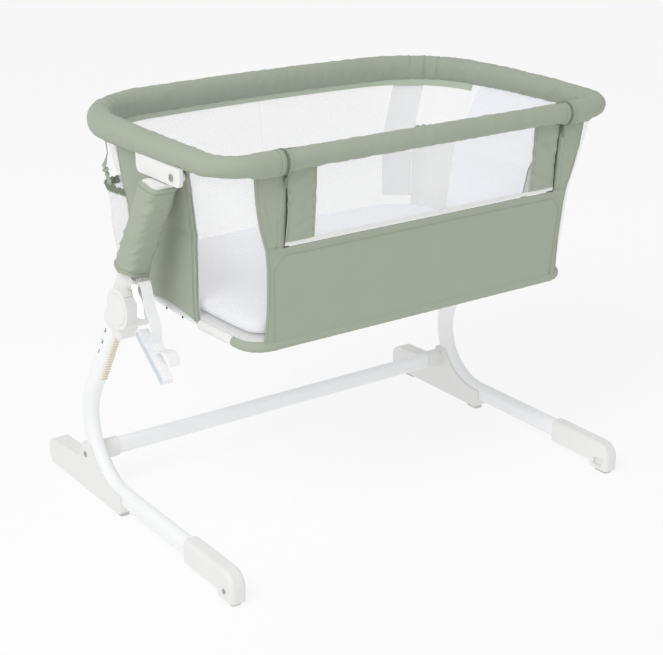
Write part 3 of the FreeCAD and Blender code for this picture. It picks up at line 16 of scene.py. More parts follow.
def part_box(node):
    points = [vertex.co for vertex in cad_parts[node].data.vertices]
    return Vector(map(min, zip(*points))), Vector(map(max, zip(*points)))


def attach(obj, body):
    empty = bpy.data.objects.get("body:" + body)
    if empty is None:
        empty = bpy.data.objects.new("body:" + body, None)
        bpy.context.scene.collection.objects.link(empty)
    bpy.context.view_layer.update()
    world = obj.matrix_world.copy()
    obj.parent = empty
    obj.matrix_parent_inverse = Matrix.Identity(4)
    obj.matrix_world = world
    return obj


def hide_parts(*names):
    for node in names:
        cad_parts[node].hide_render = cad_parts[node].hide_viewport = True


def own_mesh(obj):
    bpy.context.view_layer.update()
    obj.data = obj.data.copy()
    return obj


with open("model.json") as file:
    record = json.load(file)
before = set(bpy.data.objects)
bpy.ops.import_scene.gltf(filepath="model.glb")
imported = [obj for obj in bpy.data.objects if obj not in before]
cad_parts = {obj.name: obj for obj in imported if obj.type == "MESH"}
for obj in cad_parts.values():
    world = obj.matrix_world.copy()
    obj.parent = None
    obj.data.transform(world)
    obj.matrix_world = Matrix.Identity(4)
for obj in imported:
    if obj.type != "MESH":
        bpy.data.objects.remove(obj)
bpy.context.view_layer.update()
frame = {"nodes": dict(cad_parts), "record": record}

# %% [markdown]
# ## Writing finishes as sums
# A shader is a graph, but most of it is arithmetic. Wrapping a socket in a small class lets a
# line of Python stand for the Math nodes, so `1 - seam * 0.3` reads as it is meant.

# %% Sockets that can be added and multiplied
class Flow:
    """A value that runs along a shader link."""

    def __init__(self, tree, socket):
        self.tree = tree
        self.socket = socket

    def _sum(self, operation, *values):
        node = self.tree.nodes.new("ShaderNodeMath")
        node.operation = operation
        for place, value in enumerate(values):
            if isinstance(value, Flow):
                self.tree.links.new(value.socket, node.inputs[place])
            else:
                node.inputs[place].default_value = value
        return Flow(self.tree, node.outputs[0])

    def __add__(self, other):
        return self._sum("ADD", self, other)

    def __radd__(self, other):
        return self._sum("ADD", other, self)

    def __sub__(self, other):
        return self._sum("SUBTRACT", self, other)

    def __rsub__(self, other):
        return self._sum("SUBTRACT", other, self)

    def __mul__(self, other):
        return self._sum("MULTIPLY", self, other)

    def __rmul__(self, other):
        return self._sum("MULTIPLY", other, self)


# %% A finish is a material with one method that adds nodes
class Finish:
    """One material: `add` makes any node, sets it, and fills its sockets."""

    def __init__(self, name):
        self.material = bpy.data.materials.new(name)
        self.material.use_nodes = True
        self.tree = self.material.node_tree
        self.skin = self.tree.nodes["Principled BSDF"]
        self.end = self.tree.nodes["Material Output"]

    def add(self, kind, settings=None, values=None, output=0):
        node = self.tree.nodes.new("ShaderNode" + kind)
        for key, value in (settings or {}).items():
            setattr(node, key, value)
        for key, value in (values or {}).items():
            self.fill(node.inputs[key], value)
        return Flow(self.tree, node.outputs[output])

    def fill(self, socket, value):
        if isinstance(value, Flow):
            self.tree.links.new(value.socket, socket)
        else:
            socket.default_value = value

    def set(self, **values):
        for key, value in values.items():
            self.fill(self.skin.inputs[key.replace("_", " ")], value)
        return self

    def on(self, source="Object"):
        """Where on the piece the pattern is read: Object, or UV in metres."""
        outputs = {"UV": 2, "Object": 3}
        return self.add("TexCoord", output=outputs[source])

    def speckle(self, place, scale, detail=2.0):
        return self.add("TexNoise", values={"Vector": place, "Scale": scale, "Detail": detail})

    def tint(self, share, dark, light):
        return self.add("Mix", {"data_type": "RGBA"}, {0: share, 6: dark, 7: light}, output=2)

    def raised(self, height, distance, strength):
        return self.add("Bump", values={"Height": height, "Distance": distance, "Strength": strength})


def linear(red, green, blue):
    """A colour as a screen shows it, from 0 to 255, as the shader needs it."""
    def one(c):
        c = c / 255
        return c / 12.92 if c <= 0.04045 else ((c + 0.055) / 1.055) ** 2.4
    return (one(red), one(green), one(blue), 1.0)


# %% [markdown]
# ## Painted steel and moulded plastic
# The legs are powder-coated tube: white, satin, with the faint orange peel that powder leaves.
# The feet, hubs and brackets are injection-moulded with a fine spark-eroded grain. Both read
# Object coordinates, because the parts come from the frame and carry no unwrapping.

# %% Hard finishes
def painted_white(name, shade, roughness, peel, grain_scale):
    f = Finish(name)
    place = f.on()
    cloud = f.speckle(place, 9.0)
    base = f.tint(cloud, linear(*[c - 4 for c in shade]), linear(*shade))
    peel_height = f.speckle(place, grain_scale, 1.0)
    f.set(Base_Color=base, Roughness=roughness + 0.08 * (cloud - 0.5),
          Normal=f.raised(peel_height, peel, 0.5))
    return f.material


powder_white = painted_white("powder coated steel", (243, 245, 245), 0.38, 0.00008, 420.0)
moulded_white = painted_white("moulded white plastic", (234, 234, 232), 0.50, 0.00010, 1500.0)
gloss_white = painted_white("polished white plastic", (234, 234, 232), 0.30, 0.00003, 300.0)
board_white = painted_white("pressed fibre board", (226, 226, 224), 0.70, 0.00010, 900.0)


def plain(name, colour, roughness, metallic=0.0, grain=800.0, depth=0.00005, spread=6):
    f = Finish(name)
    place = f.on()
    cloud = f.speckle(place, grain / 20)
    dark = tuple(max(c - spread, 0) for c in colour)
    f.set(Base_Color=f.tint(cloud, linear(*dark), linear(*colour)), Roughness=roughness,
          Metallic=metallic, Normal=f.raised(f.speckle(place, grain, 1.0), depth, 0.6))
    return f.material


pad_grey = plain("soft grey rubber", (205, 204, 200), 0.75)
zinc = plain("zinc plated screw", (176, 174, 170), 0.35, 1.0)
ivory_nylon = plain("ivory nylon rack", (236, 231, 216), 0.45)
latch_nylon = plain("latch nylon", (222, 222, 220), 0.4)
rail_alloy = plain("plain aluminium tube", (200, 200, 202), 0.35, 1.0)
zip_green = plain("enamelled green zip", (132, 142, 122), 0.4)

HARD = {
    "white_paint": powder_white, "white_moulding": moulded_white, "white_gloss": gloss_white,
    "pad_rubber": pad_grey, "screw_steel": zinc, "rack_nylon": ivory_nylon,
    "latch_nylon": latch_nylon, "rail_metal": rail_alloy, "board": board_white, "zip_metal": zip_green,
}

# %% [markdown]
# ## Cloth
# The bassinet is a close plain weave in sage green, slightly mottled because the yarn is. The
# thread is far below a millimetre, so up close it is a bump, and from afar only the mottle and
# the soft sheen remain. Patterns follow the cloth: every sheet carries UVs in metres.

# %% Woven and knitted finishes
def woven(name, light, dark, thread=0.0009, depth=0.00012, source="UV"):
    f = Finish(name)
    place = f.on(source)
    split = f.add("SeparateXYZ", values={"Vector": place})
    along = split
    across = Flow(f.tree, split.socket.node.outputs[1])
    turns = 2 * math.pi / thread
    warp = f.add("Math", {"operation": "SINE"}, {0: along * turns})
    weft = f.add("Math", {"operation": "SINE"}, {0: across * turns})
    yarn = f.speckle(place, 700.0, 2.0)
    cloud = f.speckle(place, 14.0, 3.0)
    share = yarn * 0.55 + cloud * 0.45
    f.set(Base_Color=f.tint(share, linear(*dark), linear(*light)), Roughness=0.86,
          Normal=f.raised(warp * weft * 0.5 + yarn, depth, 0.45))
    f.set(Sheen_Weight=0.10, Sheen_Roughness=0.5)
    return f.material


sage = woven("sage woven cloth", (168, 177, 160), (158, 167, 150))
# A copy of the sage cloth, three levels darker: painted shade on the rail sleeves, which are the same fabric.
sage_shaded_rail_copy = woven("sage cloth darkened as rail shade", (165, 174, 157), (155, 164, 147))
sage_deep = woven("sage elastic", (140, 150, 130), (112, 123, 103), 0.0012, 0.0002)
sage_light = woven("sage binding tape", (190, 200, 182), (176, 187, 167), 0.0007)
sage_thread = woven("sage sewing thread", (146, 156, 137), (128, 138, 119), 0.0006, 0.00005, "Object")
white_cloth = woven("white cotton sheet", (248, 249, 254), (239, 240, 246))
white_tape = woven("white woven tape", (240, 240, 238), (226, 226, 224), 0.0014, 0.0002)


def netting(name, light, cover, grain=0.10):
    """Knitted mesh: holes too fine to see one by one, and a slanting grain where its rows line up."""
    f = Finish(name)
    place = f.on("UV")
    split = f.add("SeparateXYZ", values={"Vector": place})
    up = Flow(f.tree, split.socket.node.outputs[1])
    rows = f.add("Math", {"operation": "SINE"}, {0: (split * 0.62 + up) * (2 * math.pi / 0.0044)})
    drift = f.speckle(place, 22.0, 2.0)
    line = rows * 0.5 * drift + 0.5
    shade = f.tint(line, linear(*[c - 9 for c in light]), linear(*light))
    f.set(Base_Color=shade, Roughness=0.85, Alpha=cover + grain * (line - 0.5),
          Normal=f.raised(line, 0.0002, 0.3))
    return f.material


window_net = netting("window netting", (253, 253, 254), 0.12, 0.04)
end_net = netting("side netting", (252, 252, 253), 0.18, 0.12)
pocket_net = netting("pocket netting", (252, 252, 252), 0.42, 0.08)
end_tape = netting("corner tape", (250, 251, 252), 0.52, 0.06)
webbing = woven("ribbed white webbing", (249, 249, 250), (238, 238, 241), 0.002, 0.0005)


def clear_moulding():
    f = Finish("translucent plate")
    place = f.on()
    cloud = f.speckle(place, 30.0)
    f.set(Base_Color=f.tint(cloud, linear(222, 231, 240), linear(232, 239, 246)), Roughness=0.3,
          Normal=f.raised(cloud, 0.0002, 0.3))
    f.set(Transmission_Weight=0.25, IOR=1.46)
    return f.material


plate_clear = clear_moulding()

# %% Dress the frame's hard parts
for part in frame["record"]["subparts"]:
    finish = HARD.get(part["material_slot"])
    node = frame["nodes"][part["node"]]
    if part["node"] == "ring_tube":
        finish = powder_white
    if part["material_slot"] == "clear_plate":
        finish = plate_clear
    if finish is None:
        continue
    node.data.materials.clear()
    node.data.materials.append(finish)

# %% Springs behind the latch pawls
for word in ("left", "right"):
    node = word + "_pawl_spring"
    low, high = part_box(node)
    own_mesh(frame["nodes"][node])
print("hard parts dressed")

# %% [markdown]
# ## The cloth's outline
# Seen from above, the bassinet is a rounded box with bowed ends and back. Its walls lean in
# below the rail, and below the sill the ends lean in a little more. One function gives that
# outline at any height, and every sheet is laid on it, so that neighbours meet.

# %% The outline at any height
rail_low, rail_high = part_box("rail_cover")
rail_z = (rail_low.z + rail_high.z) / 2
RAIL_PAD = (rail_high.z - rail_low.z) / 2
panel_low, panel_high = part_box("front_panel")
FLOOR_Z, SILL_Z = panel_low.z, panel_high.z
TOP_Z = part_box("window_mesh")[1].z
RAIL_HALF = 0.405
RAIL_FRONT = rail_low.y + RAIL_PAD
RAIL_BACK = 0.2495
CORNER_FRONT, CORNER_BACK = 0.058, 0.170
WALL_INSET = 0.002
END_BOW, BACK_BOW = math.radians(4.1), math.radians(5.0)
SILL_HALF, FLOOR_HALF = 0.361, 0.345
FLOOR_FRONT, FLOOR_BACK = RAIL_FRONT + 0.0235, RAIL_BACK - 0.0345
FLOOR_CORNER_FRONT, FLOOR_CORNER_BACK = 0.045, 0.120


def outline_from(end, front, back, r_front, r_back, out):
    """Circles and turns of the right half; all may be arrays."""
    corner_x = end - r_front * math.cos(END_BOW)
    corner_y = front + r_front
    back_x = end - r_back * math.cos(END_BOW)
    r_long = (back_x + r_back * math.sin(BACK_BOW)) / math.sin(BACK_BOW)
    back_y = back - r_back * math.cos(BACK_BOW) - r_long * (1 - math.cos(BACK_BOW))
    y1 = corner_y - r_front * math.sin(END_BOW)
    y2 = back_y + r_back * math.sin(END_BOW)
    r_end = (y2 - y1) / (2 * math.sin(END_BOW))
    quarter = math.pi / 2
    return (
        (corner_x, front - out),
        (corner_x, corner_y, r_front + out, -quarter, -END_BOW),
        (end - r_end * math.cos(END_BOW), (y1 + y2) / 2, r_end + out, -END_BOW, END_BOW),
        (back_x, back_y, r_back + out, END_BOW, quarter - BACK_BOW),
        (0.0, back_y + r_back * math.cos(BACK_BOW) - r_long * math.cos(BACK_BOW), r_long + out,
         quarter - BACK_BOW, quarter),
    )


def cloth_outline(z, out=0.0):
    k = (z - FLOOR_Z) / (TOP_Z - FLOOR_Z)
    low = (z - FLOOR_Z) / (SILL_Z - FLOOR_Z)
    high = (z - SILL_Z) / (TOP_Z - SILL_Z)
    end = np.where(z < SILL_Z, FLOOR_HALF + (SILL_HALF - FLOOR_HALF) * low,
                   SILL_HALF + (RAIL_HALF - WALL_INSET - SILL_HALF) * high)

    def mix(a, b):
        return a + (b - a) * k

    return outline_from(end, mix(FLOOR_FRONT, RAIL_FRONT + WALL_INSET),
                        mix(FLOOR_BACK, RAIL_BACK - WALL_INSET),
                        mix(FLOOR_CORNER_FRONT, CORNER_FRONT), mix(FLOOR_CORNER_BACK, CORNER_BACK), out)


def rail_outline(z, out=0.0):
    return outline_from(RAIL_HALF + 0 * z, RAIL_FRONT, RAIL_BACK, CORNER_FRONT, CORNER_BACK, out)


def on_outline(shape, s, z, out=0.0):
    """Points at s along the outline: 0 is the middle of the front, 5 the middle of the back."""
    s, z, out = np.broadcast_arrays(np.asarray(s, float), np.asarray(z, float), np.asarray(out, float))
    arcs = shape(z, out)
    side = np.where(s < 0, -1.0, 1.0)
    a = np.clip(np.abs(s), 0, 5)
    x = np.clip(a, 0, 1) * arcs[0][0]
    y = arcs[0][1] + 0 * z
    for i in range(1, 5):
        cx, cy, r, t0, t1 = arcs[i]
        turn = t0 + (t1 - t0) * np.clip(a - i, 0, 1)
        here = a > i
        x = np.where(here, cx + r * np.cos(turn), x)
        y = np.where(here, cy + r * np.sin(turn), y)
    return np.stack([x * side, y, z + 0 * x], -1)


# %% [markdown]
# ## Laying a sheet
# A sheet starts as Blender's own grid. Its columns are spread evenly along the outline and its
# rows evenly up the wall, then each point is pushed in or out by the folds that this sheet has,
# and Solidify gives the cloth its thickness. The UVs are the cloth's own metres.

# %% Grids that become sheets
def deselect():
    bpy.ops.object.select_all(action="DESELECT")


def new_grid(name, columns, rows):
    """A grid primitive, its points numbered by (column, row), with the object at the origin."""
    deselect()
    bpy.ops.mesh.primitive_grid_add(x_subdivisions=columns, y_subdivisions=rows, size=1, location=(0, 0, 0))
    piece = bpy.context.object
    piece.name = name
    piece.data.name = name
    co = np.empty(len(piece.data.vertices) * 3)
    piece.data.vertices.foreach_get("co", co)
    co = co.reshape(-1, 3)
    return piece, co[:, 0] + 0.5, co[:, 1] + 0.5


def place_points(piece, points):
    piece.data.vertices.foreach_set("co", np.ascontiguousarray(points, dtype=np.float32).ravel())
    piece.data.update()


def lay_uv(piece, u, v):
    """UVs in metres, from one pair of values a point."""
    layer = piece.data.uv_layers[0]
    index = np.empty(len(piece.data.loops), np.int32)
    piece.data.loops.foreach_get("vertex_index", index)
    layer.data.foreach_set("uv", np.stack([u[index], v[index]], -1).astype(np.float32).ravel())


def apply_all(piece):
    bpy.context.view_layer.objects.active = piece
    deselect()
    piece.select_set(True)
    for modifier in list(piece.modifiers):
        bpy.ops.object.modifier_apply(modifier=modifier.name)


def thicken(piece, thick, offset=-1.0):
    shell = piece.modifiers.new("Cloth", "SOLIDIFY")
    shell.thickness = thick
    shell.offset = offset
    shell.use_even_offset = False
    apply_all(piece)


def finish_piece(piece, material, body, smooth=True, angle=50):
    piece.data.materials.clear()
    piece.data.materials.append(material)
    deselect()
    piece.select_set(True)
    bpy.context.view_layer.objects.active = piece
    if smooth:
        bpy.ops.object.shade_smooth_by_angle(angle=math.radians(angle))
    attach(piece, body)
    return piece


# %% Lengths of cloth round the wall
PLACES = np.linspace(-5, 5, 8001)
RUNS = np.linalg.norm(np.diff(on_outline(cloth_outline, PLACES, SILL_Z), axis=0), axis=1)
RUNS = np.concatenate([[0], np.cumsum(RUNS)])
RUNS = RUNS - RUNS[4000]


def run_at(place):
    """Length of cloth from the middle of the front to a place."""
    return np.interp(place, PLACES, RUNS)


def place_at(run):
    return np.interp(run, RUNS, PLACES)


def face_out(piece, around=(0, -0.02)):
    """Merge doubles and turn an open sheet's faces away from the middle of the crib."""
    bpy.ops.object.mode_set(mode="EDIT")
    bpy.ops.mesh.select_all(action="SELECT")
    bpy.ops.mesh.remove_doubles(threshold=0.00003)
    bpy.ops.mesh.normals_make_consistent(inside=False)
    bpy.ops.object.mode_set(mode="OBJECT")
    mesh = piece.data
    centre = Vector((around[0], around[1], 0))
    score = 0.0
    for face in mesh.polygons:
        away = face.center - centre
        score += (away.x * face.normal.x + away.y * face.normal.y) * face.area
    if score < 0:
        mesh.flip_normals()


def fullness(place, z):
    """The cloth stands fuller round the back corners, half way up the wall."""
    high = np.clip((z - FLOOR_Z) / (TOP_Z - FLOOR_Z), 0, 1)
    return 0.009 * np.exp(-((np.abs(place) - 2.95) / 0.35) ** 2) * np.sin(math.pi * high)


def lay_sheet(name, near, far, low, high, step, thick, side=1, folds=None, stand=0.0, shape=cloth_outline):
    """A wall of cloth: near and far are its edges by height, low and high its heights by how far across."""
    middle = np.array([0.5])
    z0, z1 = float(low(middle)[0]), float(high(middle)[0])
    wide = max(abs(float(run_at(far(z)) - run_at(near(z)))) for z in (z0, z1))
    columns, rows = max(2, round(wide / step)), max(2, round((z1 - z0) / step))
    piece, u, v = new_grid(name, columns, rows)
    z = low(u) + (high(u) - low(u)) * v
    run = run_at(near(z)) + (run_at(far(z)) - run_at(near(z))) * u
    place = place_at(run)
    out = stand + fullness(place, z) + (folds(run, z, u, v) if folds else 0.0)
    place_points(piece, on_outline(shape, side * place, z, out))
    lay_uv(piece, run + 3, z)
    face_out(piece)
    thicken(piece, thick)
    return piece


def level(z):
    return lambda u: z + 0 * u


def at_x(x):
    """An edge on the straight front, at one x."""
    return lambda z: x / cloth_outline(np.asarray(z, float))[0][0]


def edge_line(*points):
    """A smooth edge up the wall, through pairs of height and place round the outline."""
    heights, places = zip(*points)
    fine = np.linspace(heights[0], heights[-1], 900)
    rough = np.interp(fine, heights, places)
    soft = np.convolve(np.pad(rough, 40, mode="edge"), np.ones(81) / 81, "valid")
    return lambda z: np.interp(z, fine, soft)


# %% [markdown]
# ## Folds
# Cloth that is sewn and stretched is never flat. Long shallow folds run away from a pulled corner,
# and short puckers run across a seam. Both are noise, pulled out along one direction.

# %% Wrinkles
def wrinkle(a, b, size, long, turn, seed):
    """Noise over a sheet, in creases that run along one direction; -1 to 1."""
    c, s = math.cos(turn), math.sin(turn)
    along = (a * c + b * s) / (size * long)
    across = (b * c - a * s) / size
    pairs = zip(along.ravel(), across.ravel())
    return np.array([noise.noise((x, y, seed * 3.7)) for x, y in pairs]).reshape(a.shape)


def groove(distance, wide):
    return np.exp(-(distance / wide) ** 2)


def stitches(name, rows, body, material, pitch=0.0046):
    """Rows of thread: each row is points along it and the way that faces out there."""
    deselect()
    bpy.ops.mesh.primitive_uv_sphere_add(segments=6, ring_count=4, radius=0.5)
    one = bpy.context.object
    shape = np.array([v.co[:] for v in one.data.vertices]) * (0.00065, 0.0009, 0.0031)
    faces = [tuple(f.vertices) for f in one.data.polygons]
    points, polygons = [], []
    for path, facing in rows:
        run = np.concatenate([[0], np.cumsum(np.linalg.norm(np.diff(path, axis=0), axis=1))])
        for d in np.arange(pitch / 2, run[-1], pitch):
            here = np.array([np.interp(d, run, path[:, i]) for i in range(3)])
            ahead = np.array([np.interp(d + 0.001, run, path[:, i]) for i in range(3)])
            behind = np.array([np.interp(d - 0.001, run, path[:, i]) for i in range(3)])
            out = np.array([np.interp(d, run, facing[:, i]) for i in range(3)])
            way = (ahead - behind) / np.linalg.norm(ahead - behind)
            out = out - way * out.dot(way)
            out = out / np.linalg.norm(out)
            frame3 = np.stack([out, np.cross(way, out), way])
            start = sum(len(p) for p in points)
            points.append(here + shape @ frame3)
            polygons += [tuple(i + start for i in f) for f in faces]
    one.data.clear_geometry()
    one.data.from_pydata([tuple(p) for p in np.concatenate(points)], [], polygons)
    one.name = name
    one.data.name = name
    one.data.update()
    return finish_piece(one, material, body)


def wall_row(places, heights, stand=0.0002, side=1, shape=cloth_outline):
    """A row of thread on the wall, and the way out there."""
    fine = np.linspace(0, 1, 400)
    s = side * np.interp(fine, np.linspace(0, 1, len(places)), places)
    z = np.interp(fine, np.linspace(0, 1, len(heights)), heights)
    stand = stand + fullness(s, z)
    path = on_outline(shape, s, z, stand)
    return path, on_outline(shape, s, z, stand + 0.01) - path


SIDES = ((-1, "left"), (1, "right"))

# %% [markdown]
# ## Front panel
# The lower front is one flat panel, with a border sewn round it that is carried round both
# corners. The border's seam draws the cloth in by less than a millimetre, so the panel is a fine
# grid whose points are pushed in along the seam and puff a little inside it.

# %% Front panel
CORNER_EDGE = edge_line((0.38, 1.31), (0.41, 1.26), (0.46, 1.175), (0.50, 1.145), (0.54, 1.135),
                        (0.572, 1.16), (0.60, 1.17), (0.63, 1.15), (0.66, 1.10), (0.69, 1.025), (0.72, 0.95))
SEAM_HALF, SEAM_TOP, SEAM_ROUND = 0.311, SILL_Z - 0.009, 0.024


def seam_distance(x, z):
    """Distance from the border's seam: negative inside the panel."""
    ax = np.abs(x) - (SEAM_HALF - SEAM_ROUND)
    az = z - (SEAM_TOP - SEAM_ROUND)
    corner = np.hypot(np.maximum(ax, 0), np.maximum(az, 0))
    return corner + np.minimum(np.maximum(ax, az), 0) - SEAM_ROUND


def front_folds(run, z, u, v):
    d = seam_distance(run, z)
    puff = 0.0009 * (1 - np.exp(np.minimum(d, 0) / 0.012))
    pucker = 0.00035 * wrinkle(run, z, 0.007, 3.0, 0.0, 4) * groove(d, 0.012)
    drape = 0.0007 * wrinkle(run, z, 0.05, 2.2, 0.5, 5)
    return puff + pucker + drape - 0.0009 * groove(d, 0.0022)


front_panel = lay_sheet("front_panel", lambda z: -CORNER_EDGE(z), CORNER_EDGE, level(FLOOR_Z), level(SILL_Z),
                        0.0025, 0.003, folds=front_folds)
finish_piece(front_panel, sage, "bassinet")
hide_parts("front_panel")
print("front panel", len(front_panel.data.polygons), "faces")

# %% The panel's threads
inner_x = SEAM_HALF - 0.0035
seam_x = np.concatenate([np.full(30, -inner_x), np.linspace(-inner_x + 0.02, inner_x - 0.02, 200),
                        np.full(30, inner_x)])
seam_z = np.concatenate([np.linspace(FLOOR_Z + 0.004, SEAM_TOP - 0.024, 30), np.full(200, SEAM_TOP - 0.0035),
                         np.linspace(SEAM_TOP - 0.024, FLOOR_Z + 0.004, 30)])
bassinet_rows = [wall_row(place_at(seam_x), seam_z, 0.0007)]
for side, word in SIDES:
    z = np.linspace(FLOOR_Z + 0.004, SILL_Z, 60)
    bassinet_rows.append(wall_row(place_at(run_at(CORNER_EDGE(z)) - 0.004), z, 0.0004, side))

# %% [markdown]
# ## Beside the zips
# A narrow strip stands between the net and each zip, and another on the drop side. Between them the
# zip's tape lies deeper, so the two edges leave a dark line where they part.

# %% Corner strips
DROP_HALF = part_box("drop_hem")[1].x
WINDOW_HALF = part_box("window_mesh")[1].x
HEM_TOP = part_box("drop_hem")[1].z
HEM_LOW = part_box("drop_hem")[0].z
ZIP_X = DROP_HALF + 0.003
STITCH_X = ZIP_X + 0.0125


def strip_folds(run, z, u, v):
    edge = 0.0004 * wrinkle(run, z, 0.006, 3.0, 0.0, 8) * (groove(u, 0.22) + groove(1 - u, 0.22))
    long = 0.0014 * np.abs(wrinkle(run, z, 0.016, 3.0, 0.9, 9)) * np.sin(math.pi * v)
    return long + edge - 0.0008 * groove(run - STITCH_X, 0.0014)


for side, word in SIDES:
    strip = lay_sheet(word + "_corner_strip", at_x(ZIP_X), CORNER_EDGE, level(SILL_Z), level(TOP_Z + 0.006),
                      0.0016, 0.003, side, strip_folds)
    finish_piece(strip, sage, "bassinet")
    if side < 0:
        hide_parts("corner_strips")
    z = np.linspace(SILL_Z + 0.002, TOP_Z, 60)
    bassinet_rows.append(wall_row(place_at(run_at(CORNER_EDGE(z)) - 0.004), z, 0.0006, side))
    bassinet_rows.append(wall_row(at_x(STITCH_X)(z), z, 0.0002, side))
    bassinet_rows.append(wall_row(at_x(ZIP_X + 0.004)(z), z, 0.0006, side))
    bassinet_rows.append(wall_row([float(at_x(ZIP_X)(SILL_Z)), 1.12], [SILL_Z + 0.003, SILL_Z + 0.003],
                         0.0006, side))
    tape = lay_sheet(word + "_zip_tape", at_x(ZIP_X - 0.013), at_x(ZIP_X + 0.006), level(SILL_Z - 0.004),
                     level(TOP_Z), 0.003, 0.0006, side, stand=-0.0036)
    finish_piece(tape, sage_deep, "bassinet")

# %% [markdown]
# ## Nets, end panels and the back
# The ends are net beside a green panel that stands behind the arm. The panel's lower edge is cut
# up in an arch, which shows the white ring that holds the floor.

# %% End nets and end panels
PANEL_FRONT = edge_line((0.37, 2.34), (0.42, 2.37), (0.46, 2.355), (0.51, 2.33), (0.58, 2.30), (0.63, 2.235),
                        (0.69, 2.17), (0.73, 2.12))
PANEL_BACK = edge_line((0.37, 2.96), (0.40, 2.98), (0.45, 3.0), (0.50, 3.02), (0.55, 3.03), (0.60, 3.0),
                       (0.65, 2.965), (0.69, 2.93), (0.73, 2.89))
ARCH = 0.015


def arch(u):
    return FLOOR_Z + ARCH * (1 - (2 * u - 1) ** 2)


def end_folds(run, z, u, v):
    cross = 0.0011 * wrinkle(run, z, 0.018, 4.0, 0.12, 12)
    pull = 0.0016 * np.abs(wrinkle(run, z, 0.03, 3.0, 2.2, 13)) * v
    seam = groove(run - run_at(PANEL_FRONT(z)) - 0.008, 0.0018)
    pucker = 0.0005 * wrinkle(run, z, 0.006, 3.0, 0.0, 14) * (groove(u, 0.09) + groove(1 - u, 0.09))
    return cross + pull + pucker - 0.0009 * seam


def net_folds(run, z, u, v):
    return 0.0016 * wrinkle(run, z, 0.05, 2.5, 1.1, 15) * np.sin(math.pi * u)


for side, word in SIDES:
    net = lay_sheet(word + "_end_net", lambda z: CORNER_EDGE(z) - 0.03, lambda z: PANEL_FRONT(z) + 0.03,
                    level(FLOOR_Z), level(TOP_Z + 0.006), 0.006, 0.0010, side, net_folds, stand=-0.0032)
    finish_piece(net, end_net, "bassinet")
    if side < 0:
        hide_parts("end_meshes")
    panel = lay_sheet(word + "_end_panel", PANEL_FRONT, PANEL_BACK, arch, level(TOP_Z + 0.006), 0.0032,
                      0.003, side,
                      end_folds)
    finish_piece(panel, sage, "bassinet")
    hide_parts(word + "_end_panel")
    lining = lay_sheet(word + "_end_lining", lambda z: PANEL_FRONT(z) + 0.004,
                       lambda z: PANEL_BACK(z) - 0.002,
                       lambda u: arch(u) + 0.003, level(TOP_Z + 0.004), 0.005, 0.0008, side, end_folds, stand=-0.0064)
    finish_piece(lining, white_cloth, "bassinet")
    z = np.linspace(FLOOR_Z + 0.003, TOP_Z - 0.01, 60)
    bassinet_rows.append(wall_row(place_at(run_at(PANEL_FRONT(z)) + 0.006), z, 0.0006, side))
    bassinet_rows.append(wall_row(place_at(run_at(PANEL_FRONT(z)) + 0.010), z, 0.0006, side))
    bassinet_rows.append(wall_row(place_at(run_at(PANEL_BACK(z)) - 0.006), z, 0.0006, side))

# %% The back: net and corner tapes
MIDDLE_BACK = 5.0


def back_folds(run, z, u, v):
    return 0.002 * wrinkle(run, z, 0.08, 2.0, 0.4, 16) * np.sin(math.pi * v)


TAPE_NEAR = 3.475
TAPE_FAR = edge_line((0.44, 3.80), (0.70, 3.73))


def tape_folds(run, z, u, v):
    return 0.0012 * np.maximum(wrinkle(run, z, 0.014, 3.5, 0.8, 17), -0.3) * np.sin(math.pi * v) ** 0.5


for side, word in SIDES:
    net = lay_sheet(word + "_back_net", lambda z: PANEL_BACK(z) - 0.03, lambda z: MIDDLE_BACK + 0 * z,
                    level(FLOOR_Z), level(TOP_Z), 0.008, 0.0010, side, back_folds, stand=-0.0032)
    finish_piece(net, end_net, "bassinet")
    if side < 0:
        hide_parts("back_mesh")
    tape = lay_sheet(word + "_back_tape", lambda z: TAPE_NEAR + 0 * z, TAPE_FAR, level(0.46),
                     level(TOP_Z), 0.003,
                     0.0008, side, tape_folds, stand=-0.0012)
    finish_piece(tape, end_tape, "bassinet")
    if side < 0:
        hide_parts("back_strips")

# %% [markdown]
# ## Storage pockets
# A net bag hangs at each back corner, from a gathered elastic band. The net is cut wider than the
# band, so it bellies out below it, and the band itself is drawn into short upright ruffles.

# %% Storage pocket
POCKET_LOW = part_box("storage_pocket")[0].z
BAND_LOW, BAND_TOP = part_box("pocket_band")[0].z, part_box("pocket_band")[1].z
POCKET_DEPTH = 0.024


def pocket_stand(run, z):
    """How far the bag stands off the wall: sewn flat at its ends and foot."""
    near = np.clip((run - run_at(PANEL_BACK(z))) / 0.060, 0, 1)
    far = np.clip((run_at(TAPE_NEAR) + 0.002 - run) / 0.034, 0, 1)
    reach = near * near * (3 - 2 * near) * far * (2 - far)
    belly = np.interp(z, (POCKET_LOW, POCKET_LOW + 0.02, 0.46, 0.51, BAND_LOW, BAND_TOP),
                      (0.0, 0.011, 0.0245, 0.0275, POCKET_DEPTH, POCKET_DEPTH))
    return 0.0008 + reach * belly


def pocket_folds(run, z, u, v):
    gather = 0.0010 * np.sin(run / 0.011 * 2 * math.pi + 3 * np.sin(run * 31)) * np.clip(v, 0, 1) ** 3
    return pocket_stand(run, z) + gather + 0.0018 * wrinkle(run, z, 0.05, 2.4, 1.5, 18) * np.sin(math.pi * v)


def band_folds(run, z, u, v):
    ruffle = np.sin(run / 0.0062 * 2 * math.pi + 2 * np.sin(run * 57))
    return pocket_stand(run, z) + (0.0011 + 0.0009 * v) * ruffle + 0.0012 * wrinkle(run, z, 0.02, 1.0, 0, 19)


